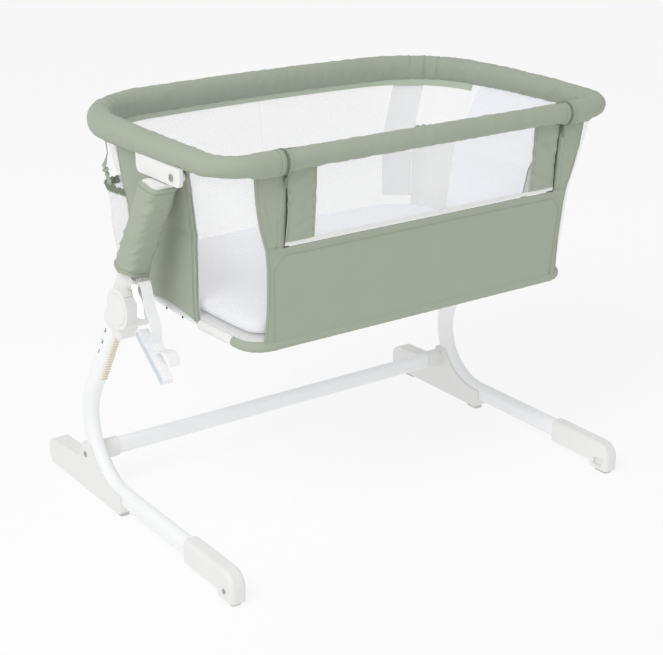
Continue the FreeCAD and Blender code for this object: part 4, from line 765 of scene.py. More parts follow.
for side, word in SIDES:
    bag = lay_sheet(word + "_storage_pocket", lambda z: PANEL_BACK(z) + 0.004, lambda z: TAPE_NEAR + 0 * z,
                    level(POCKET_LOW), level(BAND_LOW + 0.001), 0.003, 0.0009, side, pocket_folds)
    finish_piece(bag, pocket_net, "bassinet")
    band = lay_sheet(word + "_pocket_band", lambda z: PANEL_BACK(z) + 0.004, lambda z: TAPE_NEAR + 0 * z,
                     level(BAND_LOW - 0.001), lambda u: BAND_TOP + 0.0012 * np.sin(u * 60), 0.0012, 0.0022, side,
                     band_folds)
    finish_piece(band, sage_deep, "bassinet")
    if side < 0:
        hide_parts("storage_pocket")
        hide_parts("pocket_band")

# %% [markdown]
# ## Drop side
# The upper front unzips and swings down on its hem. Its window is net between two green strips.

# %% Drop side
window = lay_sheet("window_net", lambda z: -at_x(WINDOW_HALF + 0.002)(z), at_x(WINDOW_HALF + 0.002),
                   level(HEM_TOP - 0.002),
                   level(TOP_Z + 0.004), 0.006, 0.0010, folds=net_folds, stand=-0.0034)
finish_piece(window, window_net, "drop_side")
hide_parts("window_mesh")


def drop_folds(run, z, u, v):
    slack = 0.0042 * np.abs(wrinkle(run, z, 0.017, 3.2, -0.55, 21)) * np.sin(math.pi * v) ** 0.7
    pucker = 0.0005 * wrinkle(run, z, 0.005, 3.0, 0.0, 22) * (groove(u, 0.12) + groove(1 - u, 0.12))
    return slack + pucker + 0.001 * np.sin(math.pi * u)


drop_rows = []
for side, word in SIDES:
    def parted(z):
        """The strip's edge at the zip curves back where the zip gapes."""
        k = (z - HEM_TOP) / (TOP_Z - HEM_TOP)
        return at_x(DROP_HALF)(z) - 0.011 * np.sin(math.pi * np.clip(k, 0, 1)) ** 1.5 * (1.3 - k)

    strip = lay_sheet(word + "_drop_strip", at_x(WINDOW_HALF), parted, level(HEM_TOP),
                      level(TOP_Z + 0.004), 0.0016,
                      0.0026, side, drop_folds)
    finish_piece(strip, sage, "drop_side")
    if side < 0:
        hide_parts("drop_strips")
    z = np.linspace(HEM_TOP + 0.002, TOP_Z, 60)
    drop_rows.append(wall_row(at_x(WINDOW_HALF + 0.004)(z), z, 0.0012, side))
    drop_rows.append(wall_row(parted(z) - 0.010, z, 0.0012, side))

hem = lay_sheet("drop_hem", lambda z: -at_x(DROP_HALF)(z), at_x(DROP_HALF), level(HEM_LOW),
                level(HEM_TOP), 0.003,
                0.003)
finish_piece(hem, white_tape, "drop_side")
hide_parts("drop_hem")

# %% [markdown]
# ## Padded rail
# A steel tube with foam round it, in a sewn sleeve. The foam is thin where the rail turns the
# front corners, thick at the ends, and hangs deeper at the back, so the sleeve is drawn as a ring
# of points whose four half-widths change along the rail. Creases and the seam are added to them.

# %% The sleeve's section along the rail
RAIL_SPLIT = 0.297
SHELL_FROM = 0.2735
STUB_ROOM = 0.0095
RAIL_RUNS = np.linalg.norm(np.diff(on_outline(rail_outline, PLACES, rail_z), axis=0), axis=1)
RAIL_RUNS = np.concatenate([[0], np.cumsum(RAIL_RUNS)])
RAIL_RUNS = RAIL_RUNS - RAIL_RUNS[4000]
RAIL_TURNS = np.interp((1, 2, 3, 4, 5), PLACES, RAIL_RUNS)


def half_widths(run):
    """Outwards, upwards, inwards and downwards from the rail's middle line, by length along it."""
    place = np.interp(np.abs(run), RAIL_RUNS, PLACES)
    marks = (0.0, 0.70, 0.80, 0.86, 0.97, 1.10, 1.50, 2.00, 2.30, 2.70, 3.00, 3.50, 4.00, 5.0)
    outwards = (172, 172, 178, 186, 184, 174, 166, 182, 212, 226, 226, 210, 200, 200)
    upwards = (172, 172, 178, 188, 186, 176, 168, 184, 208, 214, 214, 212, 210, 210)
    inwards = (172, 172, 178, 184, 182, 172, 166, 180, 206, 214, 212, 206, 200, 200)
    downwards = (172, 172, 182, 236, 242, 186, 168, 190, 214, 232, 256, 290, 305, 305)
    return [np.interp(place, marks, np.array(w) * 1e-4) for w in (outwards, upwards, inwards, downwards)]


BACK_SEAMS = np.interp((3.35, 3.47, 3.60), PLACES, RAIL_RUNS)


def sleeve_points(run, turn):
    wide_out, wide_up, wide_in, wide_down = half_widths(run)
    c, s = np.cos(turn), np.sin(turn)
    girth = np.abs(np.mod(turn + math.pi / 2, 2 * math.pi) - math.pi) * 0.02
    crease = 0.0011 * wrinkle(run, girth, 0.016, 1.0, 0.0, 30) + 0.0007 * wrinkle(run, girth, 0.008, 2.6,
                                                                                  1.2, 31)
    place = np.interp(np.abs(run), RAIL_RUNS, PLACES)
    ring = np.abs(np.abs(run) - np.interp(1.74, PLACES, RAIL_RUNS))
    edge = np.abs(np.abs(run) - RAIL_SPLIT)
    tight = np.exp(-edge / 0.014) * 0.0012 * wrinkle(run * 0.2, girth, 0.0045, 1.0, 0.0, 33)
    more = crease * np.clip((edge - 0.002) / 0.03, 0.25, 1) + tight - 0.0012 * groove(ring, 0.0016)
    more = more - 0.0015 * groove(edge, 0.0025) - 0.0008 * groove(edge - 0.010, 0.0016)
    for mark in BACK_SEAMS:
        more = more - 0.0013 * groove(np.abs(run) - mark, 0.0014)
    gather = wrinkle(run, girth, 0.0050, 3.0, 1.57,
                     35) * np.exp(-((np.abs(run) - BACK_SEAMS[1]) / 0.028) ** 2)
    more = more + 0.0010 * gather
    seam = groove((np.mod(turn + math.pi, 2 * math.pi) - math.pi + 1.0) * 0.02, 0.0016) * (place > 1.9)
    more = more - 0.0009 * seam
    out = c * np.where(c > 0, wide_out, wide_in) + c * more
    rise = s * np.where(s > 0, wide_up, wide_down) + s * more
    return out, rise


def rail_sleeve(name, runs, around, keep):
    """keep is -1 for the back half, 1 for the front half, where the two sides hook over the stubs."""
    piece, u, v = new_grid(name, len(runs) - 1, around)
    run = runs[np.rint(u * (len(runs) - 1)).astype(int)]
    turn = v * 2 * math.pi + math.pi / 2
    out, rise = sleeve_points(run, turn)
    half = np.where(keep > 0, np.abs(run) > SHELL_FROM - 0.0012, np.abs(run) < RAIL_SPLIT - 0.0005)
    cut_away = half & (np.cos(turn) * keep < 1e-6)
    out = np.where(cut_away, keep * (0.0004 + STUB_ROOM * np.abs(np.cos(turn))), out)
    rise = np.where(cut_away, STUB_ROOM * np.sin(turn), rise)
    out = np.where(half & ~cut_away, keep * np.maximum(keep * out, 0.0004), out)
    place = np.interp(run, RAIL_RUNS, PLACES)
    points = on_outline(rail_outline, place, rail_z, out)
    points[:, 2] += rise
    place_points(piece, points)
    lay_uv(piece, run + 3, v * 0.126)
    bpy.ops.object.mode_set(mode="EDIT")
    bpy.ops.mesh.select_all(action="SELECT")
    bpy.ops.mesh.remove_doubles(threshold=0.00003)
    bpy.ops.mesh.select_all(action="DESELECT")
    bpy.ops.mesh.select_non_manifold()
    bpy.ops.mesh.edge_face_add()
    bpy.ops.mesh.select_all(action="SELECT")
    bpy.ops.mesh.normals_make_consistent(inside=False)
    bpy.ops.object.mode_set(mode="OBJECT")
    return piece


# %% The two sleeves
half_run = np.concatenate([np.linspace(SHELL_FROM, RAIL_SPLIT - 0.0006, 10),
                           np.linspace(RAIL_SPLIT, RAIL_RUNS[-1], 420)])
rail_pad = rail_sleeve("padded_rail", np.concatenate([half_run, (-half_run[::-1])[1:]]), 44, -1)
# Both sleeves wear the darker copy of the sage cloth, a painted shade.
finish_piece(rail_pad, sage_shaded_rail_copy, "bassinet")
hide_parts("rail_cover")
front_end = RAIL_SPLIT - 0.001
middle_runs = np.linspace(-SHELL_FROM + 0.0015, SHELL_FROM - 0.0015, 200)
lap_runs = np.linspace(SHELL_FROM - 0.0008, front_end, 12)
front_pad = rail_sleeve("padded_front_rail", np.concatenate([-lap_runs[::-1], middle_runs, lap_runs]), 44, 1)
finish_piece(front_pad, sage_shaded_rail_copy, "drop_side")
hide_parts("front_rail_cover")
print("rail sleeves", len(rail_pad.data.polygons), "and", len(front_pad.data.polygons), "faces")


# %% Threads and zips over the rail
def rail_row(runs, turns, stand=0.0003):
    """A row on the sleeve, through runs along it and turns round it."""
    fine = np.linspace(0, 1, 300)
    run = np.interp(fine, np.linspace(0, 1, len(runs)), runs)
    turn = np.interp(fine, np.linspace(0, 1, len(turns)), turns)
    out, rise = sleeve_points(run, turn)
    place = np.interp(run, RAIL_RUNS, PLACES)
    path = on_outline(rail_outline, place, rail_z, out + stand * np.cos(turn))
    path[:, 2] += rise + stand * np.sin(turn)
    centre = on_outline(rail_outline, place, rail_z, 0.0)
    return path, path - centre


def rope(name, path, radius, material, body, sides=8):
    """A thin round cord of thread or coil that follows a path."""
    piece, u, v = new_grid(name, len(path) - 1, sides)
    col = np.rint(u * (len(path) - 1)).astype(int)
    way = np.gradient(path, axis=0)
    way /= np.linalg.norm(way, axis=1)[:, None]
    flat = np.cross(way, (0.31, 0.17, 0.93))
    flat /= np.linalg.norm(flat, axis=1)[:, None]
    other = np.cross(way, flat)
    turn = v * 2 * math.pi
    run = np.concatenate([[0], np.cumsum(np.linalg.norm(np.diff(path, axis=0), axis=1))])
    points = path[col] + radius * (np.cos(turn)[:, None] * flat[col] + np.sin(turn)[:, None] * other[col])
    place_points(piece, points)
    lay_uv(piece, run[col], v * 2 * math.pi * radius)
    bpy.ops.object.mode_set(mode="EDIT")
    bpy.ops.mesh.select_all(action="SELECT")
    bpy.ops.mesh.remove_doubles(threshold=0.00001)
    bpy.ops.mesh.select_all(action="DESELECT")
    bpy.ops.mesh.select_non_manifold()
    bpy.ops.mesh.edge_face_add()
    bpy.ops.mesh.select_all(action="SELECT")
    bpy.ops.mesh.normals_make_consistent(inside=False)
    bpy.ops.object.mode_set(mode="OBJECT")
    return finish_piece(piece, material, body)


zip_coil = woven("zip coil", (138, 148, 128), (100, 110, 92), 0.0016, 0.0004)
OVER = (math.radians(150), math.radians(-62))
for side, word in SIDES:
    bassinet_rows.append(rail_row([side * (RAIL_SPLIT + 0.0115)] * 2, OVER))
    bassinet_rows.append(rail_row([side * (RAIL_SPLIT + 0.0045)] * 2, OVER))
    drop_rows.append(rail_row([side * (RAIL_SPLIT - 0.0115)] * 2, OVER))
    drop_rows.append(rail_row([side * (RAIL_SPLIT - 0.0045)] * 2, OVER))
    for mark in BACK_SEAMS:
        bassinet_rows.append(rail_row([side * (mark + 0.003)] * 2, OVER))
    low = [math.radians(-57)] * 2
    bassinet_rows.append(rail_row([side * RAIL_TURNS[1], side * RAIL_TURNS[3]], low))
    bassinet_rows.append(rail_row([side * RAIL_TURNS[3], side * RAIL_TURNS[4]], low))
    bassinet_rows.append(rail_row([side * (RAIL_SPLIT + 0.003), side * (RAIL_TURNS[0] + 0.004)],
                         [math.radians(-66)] * 2))
    for body, shift, down in (("bassinet", 0.0008, ZIP_X - 0.0005), ("drop_side", -0.0018, None)):
        over, facing = rail_row([side * (RAIL_SPLIT + shift)] * 2, OVER, 0.0006)
        path = over
        if down:
            z = np.linspace(TOP_Z - 0.004, SILL_Z + 0.002, 60)
            path = np.concatenate([over, on_outline(cloth_outline, side * at_x(down)(z), z, 0.0002)])
        rope(word + "_zip_coil_" + body, path[::2], 0.0011, zip_coil, body)

# %% Binding under the back of the rail
BINDING_START = 3.0
for side, word in SIDES:
    trim = lay_sheet(word + "_rail_binding", lambda z: BINDING_START + 0 * z,
                     lambda z: MIDDLE_BACK + 0 * z, level(rail_z - 0.0355),
                     level(rail_z - 0.022), 0.004, 0.0012, side, stand=-0.0066)
    finish_piece(trim, sage_light, "bassinet")

stitches("bassinet_stitching", bassinet_rows, "bassinet", sage_thread)
stitches("drop_side_stitching", drop_rows, "drop_side", sage_thread)

# %% [markdown]
# ## Sleeves on the arms
# Each arm wears a loose sleeve of the same cloth. It twists a little on the tube, so its creases
# run slantwise; its two hems are turned and sewn, and the lower one is cut away over the hub.

# %% Points on the arm
LEAN = math.radians(32.3)
UP = np.array([0, -math.sin(LEAN), math.cos(LEAN)])
FORWARD = np.array([0, -math.cos(LEAN), -math.sin(LEAN)])
LEG_X = (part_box("left_leg_tube")[0].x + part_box("left_leg_tube")[1].x) / 2
REFERENCE = np.array([LEG_X, 0.08665, 0.330])


def on_arm(along, forward, across):
    """Point on the left arm: along it, in front of its axis, and towards +X."""
    along, forward, across = np.broadcast_arrays(along, forward, across)
    return (REFERENCE + along[..., None] * UP + forward[..., None] * FORWARD
            + across[..., None] * np.array([1.0, 0, 0]))


def mirror_points(points, side):
    return points * np.array([-side, 1, 1]) if side > 0 else points


# %% Arm sleeves
SLEEVE_ROUND = 0.150


def sleeve_shape(u, v):
    """u round the arm, v up it: along, forward and across, with the creases."""
    turn = u * 2 * math.pi
    flat = 2 / 4.2
    outer = 0.5 - 0.5 * np.cos(turn)
    ahead = np.clip(np.sin(turn), 0, 1)
    across = np.sign(np.cos(turn)) * np.abs(np.cos(turn)) ** flat
    forward = np.sign(np.sin(turn)) * np.abs(np.sin(turn)) ** flat
    low = 0.1925 + 0.024 * outer * ahead ** 0.5
    top = 0.389 + 0.022 * (0.5 + 0.5 * forward)
    along = low + (top - low) * v
    near_low = (along - low) / 0.03
    fuller = 0.005 * np.exp(-near_low ** 2)
    a, b = u * SLEEVE_ROUND, along
    fold = 0.0026 * np.maximum(wrinkle(a, b, 0.0125, 4.5, 2.45, 40), -0.15)
    fold = fold + 0.0014 * wrinkle(a, b, 0.007, 4.0, 2.55, 41) + 0.0022 * np.maximum(wrinkle(a, b, 0.022,
                                                                                     2.6, 2.1, 42), 0)
    hem = groove(along - low - 0.010, 0.0016) + groove(top - along - 0.009, 0.0016)
    roll = 0.0012 * groove(along - low - 0.005, 0.004) + 0.001 * groove(top - along - 0.0045, 0.004)
    calm = np.clip((along - low) / 0.012, 0.2, 1) * np.clip((top - along) / 0.012, 0.2, 1)
    loose = np.maximum(fold * calm + roll - 0.0009 * hem, -0.0003)
    half_x = np.where(np.cos(turn) < 0, 0.0270, 0.0190) + loose
    half_f = np.where(np.sin(turn) > 0, 0.0270 + fuller * (1 - 0.7 * outer), 0.0245) + loose
    return along, forward * half_f, across * half_x


def sleeve_points_on_arm(u, v, side):
    return mirror_points(on_arm(*sleeve_shape(u, v)), side)


for side, word in SIDES:
    cover, u, v = new_grid(word + "_arm_sleeve", 120, 130)
    place_points(cover, sleeve_points_on_arm(u, v, side))
    lay_uv(cover, u * SLEEVE_ROUND, v * 0.2)
    face_out(cover, (side * 0.427, -0.065))
    centre = Vector(mirror_points(on_arm(0.29, 0.0, -0.004), side))
    if sum((f.center - centre).dot(f.normal) for f in cover.data.polygons) < 0:
        cover.data.flip_normals()
    thicken(cover, 0.0014)
    finish_piece(cover, sage, word + "_arm", angle=60)
    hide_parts(word + "_arm_cover")
    rows = []
    round_arm = np.linspace(0, 1, 400)
    for height in (0.052, 0.952):
        path = sleeve_points_on_arm(round_arm, height + 0 * round_arm, side)
        middle = mirror_points(on_arm(sleeve_shape(round_arm, height + 0 * round_arm)[0], 0.0, -0.004), side)
        facing = path - middle
        facing /= np.linalg.norm(facing, axis=1)[:, None]
        rows.append((path + 0.0006 * facing, facing))
    stitches(word + "_sleeve_stitching", rows, word + "_arm", sage_thread)
print("arm sleeves sewn")

# %% [markdown]
# ## The floor ring, its casing and the bottom
# A white ring of tube is the floor's frame. The front panel's lower edge is folded round it, and
# white tape holds the nets to it; under the green end panels it is bare.

# %% Casings round the ring
ring_low, ring_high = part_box("ring_tube")
RING_Z = (ring_low.z + ring_high.z) / 2
RING_IN = -(FLOOR_HALF - ring_high.x + (ring_high.z - ring_low.z) / 2 - 0.0022) - 0.0025


def casing(name, place0, place1, radius, material, side=1, thick=0.0010):
    run0, run1 = float(run_at(place0)), float(run_at(place1))
    columns = int((run1 - run0) / 0.004)
    piece, u, v = new_grid(name, columns, 18)
    run = run0 + (run1 - run0) * u
    turn = math.radians(75) - v * math.radians(245)
    fuller = radius + 0.0006 * wrinkle(run, turn * 0.01, 0.010, 1.0, 0.0, 50)
    points = on_outline(cloth_outline, side * place_at(run), RING_Z, RING_IN + fuller * np.cos(turn))
    points[:, 2] += fuller * np.sin(turn)
    place_points(piece, points)
    lay_uv(piece, run + 3, v * 0.04)
    face_out(piece)
    middle = on_outline(cloth_outline, side * place_at(run), RING_Z, RING_IN)
    faces = piece.data.polygons
    score = 0.0
    for face in faces:
        i = face.vertices[0]
        score += float(np.dot(np.array(face.center) - middle[min(i, len(middle) - 1)], np.array(face.normal)))
    if score < 0:
        piece.data.flip_normals()
    thicken(piece, thick, 1.0)
    finish_piece(piece, material, "bassinet")
    return piece


casing("panel_casing", -2.05, 2.05, 0.0086, sage)
for side, word in SIDES:
    casing(word + "_net_casing", 2.05, 2.36, 0.0084, white_tape, side)
    casing(word + "_back_casing", 3.32, 5.0, 0.0084, white_tape, side)

# %% Dark discs on the bare ring: painted shade for its holes
# Painted shade: where the ring has a hole, a flat dark disc sits on its surface and stands for the shade inside the
# hole.
hole_shade = plain("painted hole shade", (62, 62, 62), 0.5)
for side, word in SIDES:
    for number, place in enumerate((2.52, 2.70)):
        deselect()
        bpy.ops.mesh.primitive_cylinder_add(vertices=20, radius=0.0021, depth=0.0016)
        hole_disc = bpy.context.object
        hole_disc.name = f"{word}_ring_hole_shade_{number + 1}"
        rim = hole_disc.modifiers.new("Edge", "BEVEL")
        rim.width = 0.0004
        rim.segments = 2
        apply_all(hole_disc)
        middle = on_outline(cloth_outline, side * place, RING_Z, RING_IN)
        out = on_outline(cloth_outline, side * place, RING_Z, RING_IN + 0.01) - middle
        out = Vector(out / np.linalg.norm(out))
        turn = out.to_track_quat("Z", "Y").to_matrix().to_4x4()
        hole_disc.data.transform(Matrix.Translation(Vector(middle) + out * 0.0079) @ turn)
        finish_piece(hole_disc, hole_shade, "bassinet")

# %% [markdown]
# ## Bottom sheet and mattress
# The mattress is a firm foam pad in a white cover. A closed slab is remeshed to even faces, and
# Blender's Cloth blows it up a little, so that its cover stands in a soft crown.

# %% Bottom sheet
def disc(name, around, rings, out, height):
    """A closed slab or a sheet: height(share to the rim, place, angle) over the outline's plan."""
    piece, u, v = new_grid(name, around, rings)
    run = RUNS[0] + (RUNS[-1] - RUNS[0]) * u
    place = place_at(run)
    rim = on_outline(cloth_outline, place, FLOOR_Z, out)
    share, z = height(v, run)
    middle = np.array([0, -0.02, 0])
    points = middle + (rim - middle) * share[:, None]
    points[:, 2] = z
    place_points(piece, points)
    lay_uv(piece, points[:, 0], points[:, 1])
    bpy.ops.object.mode_set(mode="EDIT")
    bpy.ops.mesh.select_all(action="SELECT")
    bpy.ops.mesh.remove_doubles(threshold=0.00002)
    bpy.ops.mesh.normals_make_consistent(inside=False)
    bpy.ops.object.mode_set(mode="OBJECT")
    return piece


def sheet_height(v, run):
    share = 1 - v
    sag = 0.0016 * np.sin(math.pi * np.clip(share, 0, 1)) * (1 + 0.6 * np.sin(run * 19) * share)
    return share, np.full_like(v, 0.4141) - sag


bottom = disc("bottom_sheet_cloth", 260, 40, -0.004, sheet_height)
if sum(f.normal.z * f.area for f in bottom.data.polygons) > 0:
    bottom.data.flip_normals()
thicken(bottom, 0.0008)
finish_piece(bottom, white_cloth, "bassinet")
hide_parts("bottom_sheet")

# %% Mattress
MATTRESS_LOW, MATTRESS_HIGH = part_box("mattress")[0].z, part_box("mattress")[1].z


def mattress_height(v, run):
    turn = (v - 0.5) * math.pi
    share = np.cos(turn) ** 0.10
    middle = (MATTRESS_LOW + MATTRESS_HIGH) / 2 - 0.002
    half = (MATTRESS_HIGH - MATTRESS_LOW) / 2 - 0.0025
    return share, middle + half * np.sign(turn) * np.abs(np.sin(turn)) ** 0.55


def blow_up(piece, pressure, most, frames=20):
    """Cloth with air in it, gravity off; no point moves further than most."""
    count = len(piece.data.vertices)
    before = np.empty(count * 3, np.float32)
    piece.data.vertices.foreach_get("co", before)
    cloth = piece.modifiers.new("Cloth", "CLOTH")
    cloth.settings.use_pressure = True
    cloth.settings.uniform_pressure_force = pressure
    cloth.settings.effector_weights.gravity = 0
    for frame_number in range(1, frames + 1):
        bpy.context.scene.frame_set(frame_number)
    shaped = piece.evaluated_get(bpy.context.evaluated_depsgraph_get())
    after = np.empty(count * 3, np.float32)
    shaped.data.vertices.foreach_get("co", after)
    piece.modifiers.clear()
    bpy.context.scene.frame_set(1)
    before, after = before.reshape(-1, 3), after.reshape(-1, 3)
    move = after - before
    far = np.linalg.norm(move, axis=1)
    move *= np.minimum(1, most / np.maximum(far, 1e-9))[:, None]
    move[:, 2] = np.where(before[:, 2] < MATTRESS_LOW + 0.006, np.maximum(move[:, 2], 0), move[:, 2])
    place_points(piece, before + move)
    return float(far.max())


mattress = disc("mattress_pad", 300, 60, -0.0085, mattress_height)
finish_piece(mattress, white_cloth, "bassinet")
mesher = mattress.modifiers.new("Even", "REMESH")
mesher.mode = "VOXEL"
mesher.voxel_size = 0.006
apply_all(mattress)
reach = blow_up(mattress, 4.0, 0.004)
smoother = mattress.modifiers.new("Smooth", "SUBSURF")
smoother.levels = 1
smoother.render_levels = 1
apply_all(mattress)
finish_piece(mattress, white_cloth, "bassinet")
print("mattress blown up by", round(reach * 1000, 1), "mm before the limit")
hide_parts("mattress")

# %% [markdown]
# ## Tether
# A ribbed strap of webbing hangs from the hub, goes once round the clear plate and ends in a
# short tail. It is a ribbon swept along its route, and its ribs are real: the strip's two faces
# swell and sink every few millimetres.

# %% Webbing
def smooth_route(points, step=0.0008):
    """A smooth line through (y, z) points, in even steps."""
    points = np.array(points, float)
    ends = np.concatenate([[2 * points[0] - points[1]], points, [2 * points[-1] - points[-2]]])
    line = []
    for i in range(1, len(ends) - 2):
        a, b, c, d = ends[i - 1:i + 3]
        for t in np.linspace(0, 1, 40, endpoint=False):
            line.append(0.5 * (2 * b + (c - a) * t + (2 * a - 5 * b + 4 * c - d) * t ** 2
                               + (3 * b - a - 3 * c + d) * t ** 3))
    line = np.array(line + [points[-1]])
    run = np.concatenate([[0], np.cumsum(np.linalg.norm(np.diff(line, axis=0), axis=1))])
    even = np.arange(0, run[-1], step)
    return np.stack([np.interp(even, run, line[:, i]) for i in (0, 1)], -1), even


STRAP_X, STRAP_HALF, STRAP_THICK = -0.428, 0.0098, 0.0022


def webbing_strip(name, points):
    route, even = smooth_route(points)
    piece, u, v = new_grid(name, len(route) - 1, 10)
    col = np.rint(u * (len(route) - 1)).astype(int)
    way = np.gradient(route, axis=0)
    way /= np.linalg.norm(way, axis=1)[:, None]
    side_way = np.stack([-way[:, 1], way[:, 0]], -1)
    rib = 0.00045 * np.sin(even / 0.0031 * 2 * math.pi)
    out = STRAP_THICK / 2 + rib
    x = STRAP_X + (v - 0.5) * 2 * STRAP_HALF
    yz = route[col] + side_way[col] * out[col][:, None]
    place_points(piece, np.stack([x, yz[:, 0], yz[:, 1]], -1))
    lay_uv(piece, even[col], v * 0.02)
    bpy.ops.object.mode_set(mode="EDIT")
    bpy.ops.mesh.select_all(action="SELECT")
    bpy.ops.mesh.normals_make_consistent(inside=False)
    bpy.ops.object.mode_set(mode="OBJECT")
    first = piece.data.polygons[len(piece.data.polygons) // 2]
    i = col[first.vertices[0]]
    if first.normal.y * side_way[i][0] + first.normal.z * side_way[i][1] < 0:
        piece.data.flip_normals()
    thicken(piece, STRAP_THICK)
    finish_piece(piece, webbing, "left_arm")
    return piece


PLATE = np.array([-0.090, 0.361])
SLOPE = math.radians(37.0)
plate_way = np.array([-math.cos(SLOPE), -math.sin(SLOPE)])
plate_face = np.array([math.sin(SLOPE), -math.cos(SLOPE)])


def round_plate(t):
    """Point on the strap's middle as it goes round the plate, t from 0 to 1."""
    half_long, half_thick = 0.0465, 0.0055 + 0.0003 + STRAP_THICK / 2 + 0.0002
    straight, bend = 2 * half_long, math.pi * half_thick
    d = (t % 1.0) * (2 * straight + 2 * bend)
    if d < straight:
        return PLATE + plate_way * (-half_long + d) - plate_face * half_thick
    if d < straight + bend:
        a = (d - straight) / half_thick
        return PLATE + plate_way * (half_long + half_thick * math.sin(a)) - plate_face * half_thick * math.cos(a)
    if d < 2 * straight + bend:
        return PLATE + plate_way * (half_long - (d - straight - bend)) + plate_face * half_thick
    a = (d - 2 * straight - bend) / half_thick
    return PLATE + plate_way * (-half_long - half_thick * math.sin(a)) + plate_face * half_thick * math.cos(a)


DROP = ((20, 123), (6, 83), (-9, 60), (-13, 28), (-26, 17))
TAIL = ((-26, 17.5), (-44, 23), (-60, 25), (-67, 17), (-71, 5))
start = on_arm(0.190, 0.033, 0.0)[1:] + np.array([-0.015, 0.003])
drop = [start] + [PLATE + np.array(p) / 1000 for p in DROP]
loop_points = [round_plate(t) for t in np.linspace(0.0, 1.0, 44)]
tail = [PLATE + np.array(p) / 1000 for p in TAIL]
strap = webbing_strip("tether_webbing", drop)
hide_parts("tether_strap")
webbing_strip("tether_loop", loop_points)
webbing_strip("tether_tail", tail)

# %% Bare tag
tag_white = plain("satin tag", (246, 247, 250), 0.55, 0.0, 500.0, 0.00003, 3)
TAG_TOP, TAG_LOW = np.array([-0.4405, -0.0560, 0.4815]), np.array([-0.4400, -0.0760, 0.4270])
tag, u, v = new_grid("care_tag", 12, 44)
fall = TAG_TOP + (TAG_LOW - TAG_TOP) * v[:, None]
across = np.array([0.30, -0.95, 0.0]) * 0.0165
tag_points = fall + across * (u - 0.5)[:, None]
curl = 0.0016 * np.sin(v * 7.0 + 0.5) + 0.0012 * (u - 0.5) * np.sin(v * 11)
tag_points[:, 0] -= curl + 0.0010 * wrinkle(u * 0.016, v * 0.058, 0.012, 1.5, 0.4, 60)
place_points(tag, tag_points)
lay_uv(tag, u * 0.0165, v * 0.058)
thicken(tag, 0.0004, 0.0)
finish_piece(tag, tag_white, "left_arm")

# %% [markdown]
# ## Elastic loop over the pocket
# At the left back corner a short gathered elastic ties the pocket's band up to the rail: a thin
# part under the rail, then a bunched twist that stands off the net.

# %% Elastic loop
LOOP_TOP = on_outline(cloth_outline, -3.17, 0.689, -0.001)
LOOP_LOW = on_outline(cloth_outline, -3.17, BAND_TOP - 0.003, 0.017)
loop, u, v = new_grid("pocket_loop", 14, 110)
bunch = np.clip((v - 0.42) / 0.2, 0, 1)
path = LOOP_TOP + (LOOP_LOW - LOOP_TOP) * (v ** 1.1)[:, None]
bulge = 0.008 * np.sin(math.pi * np.clip((v - 0.35) / 0.65, 0, 1))
way_out = on_outline(cloth_outline, -3.17, 0.64, 0.01) - on_outline(cloth_outline, -3.17, 0.64, 0.0)
way_out = way_out / np.linalg.norm(way_out)
way_side = np.array([-way_out[1], way_out[0], 0.0])
wide = 0.0022 + 0.0052 * bunch
twist = 0.0026 * bunch * np.sin(v * 2 * math.pi * 6 + 2.2 * np.sin(v * 19))
loop_points = path + way_out * (bulge + twist + 0.0022 * bunch * np.cos(u * 9))[:, None]
loop_points = loop_points + way_side * ((u - 0.5) * 2 * wide + 0.002 * bunch * np.sin(v * 31))[:, None]
place_points(loop, loop_points)
lay_uv(loop, u * 0.012, v * 0.1)
thicken(loop, 0.0014, 0.0)
finish_piece(loop, sage, "bassinet")

# %% [markdown]
# ## Height numbers
# Plain numbers are printed on the outer face of each upright. A text curve is made a mesh, and its
# points are put on the tube, because the export bakes every object at the origin.

# %% Printed numbers
ink = plain("grey ink", (52, 52, 55), 0.6)
tube_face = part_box("left_leg_tube")[0].x - 0.00005
for side, word in SIDES:
    for number, (y, z) in zip("321", ((0.0715, 0.359), (0.0855, 0.334), (0.1015, 0.311))):
        deselect()
        bpy.ops.object.text_add(location=(0, 0, 0))
        text = bpy.context.object
        text.data.body = number
        text.data.size = 0.0122
        text.data.offset = 0.00035
        text.data.align_x = "CENTER"
        text.data.align_y = "CENTER"
        text.data.extrude = 0.00006
        bpy.ops.object.convert(target="MESH")
        text = bpy.context.object
        text.name = f"{word}_height_number_{number}"
        text.data.name = text.name
        right = Vector(FORWARD) * (1 if side < 0 else -1)
        up = Vector(UP)
        out = Vector((side, 0, 0))
        turn = Matrix((right, up, out)).transposed().to_4x4()
        text.data.transform(Matrix.Translation(Vector((-side * tube_face, y, z))) @ turn)
        finish_piece(text, ink, "base", False)
print("numbers printed")

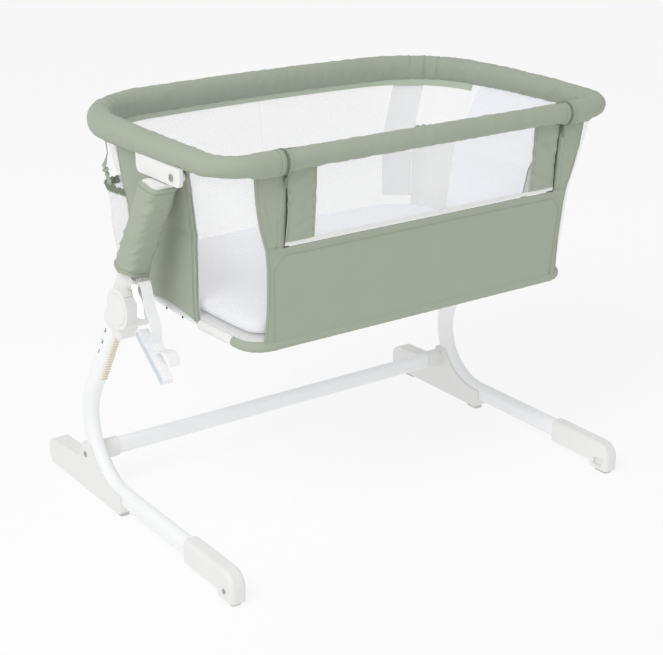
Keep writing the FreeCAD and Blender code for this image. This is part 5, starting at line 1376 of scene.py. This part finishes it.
# %% [markdown]
# ## Studio
# A white sheet runs under the crib. It glows a little by itself, which keeps the background white
# without more light on the crib, and still takes its shadow. One soft lamp stands high to the left.

# %% Floor, lights and camera
deselect()
bpy.ops.mesh.primitive_plane_add(size=30, location=(0, 0, 0))
floor = bpy.context.object
floor.name = "studio_floor"
paper = Finish("white studio paper")
paper.set(Base_Color=linear(250, 250, 250), Roughness=0.9)
glow = paper.add("Emission", values={"Color": (1, 1, 1, 1), "Strength": 0.985})
blend = paper.add("MixShader", values={0: 0.80, 1: Flow(paper.tree, paper.skin.outputs[0]), 2: glow})
paper.tree.links.new(blend.socket, paper.end.inputs["Surface"])
floor.data.materials.append(paper.material)

world = bpy.data.worlds.new("studio")
bpy.context.scene.world = world
world.use_nodes = True
air = world.node_tree.nodes["Background"]
air.inputs["Color"].default_value = (1, 1, 1, 1)
seen = world.node_tree.nodes.new("ShaderNodeLightPath").outputs["Is Camera Ray"]
strength = world.node_tree.nodes.new("ShaderNodeMapRange")
strength.inputs["To Min"].default_value = 0.72
strength.inputs["To Max"].default_value = 0.965
world.node_tree.links.new(seen, strength.inputs["Value"])
world.node_tree.links.new(strength.outputs["Result"], air.inputs["Strength"])


def softbox(name, place, aim, size, power):
    deselect()
    bpy.ops.object.light_add(type="AREA", location=place)
    lamp = bpy.context.object
    lamp.name = name
    lamp.data.shape = "SQUARE"
    lamp.data.size = size
    lamp.data.energy = power
    lamp.rotation_euler = (Vector(aim) - Vector(place)).to_track_quat("-Z", "Y").to_euler()
    return lamp


softbox("key_softbox", (-2.6, -1.2, 3.2), (0, 0, 0.5), 1.8, 58)

bpy.ops.object.camera_add(location=(-1.5353, -2.1622, 1.2892))
camera = bpy.context.object
camera.name = "photograph_camera"
look = Vector((0.62992, 0.89022, -0.11823)) - camera.location
camera.rotation_mode = "QUATERNION"
camera.rotation_quaternion = look.to_track_quat("-Z", "Y")
camera.data.sensor_width = 36.0
camera.data.lens = 36.0 * 1503.95 / 663
camera.data.clip_end = 60
bpy.context.scene.camera = camera
bpy.context.scene.view_settings.view_transform = "Standard"
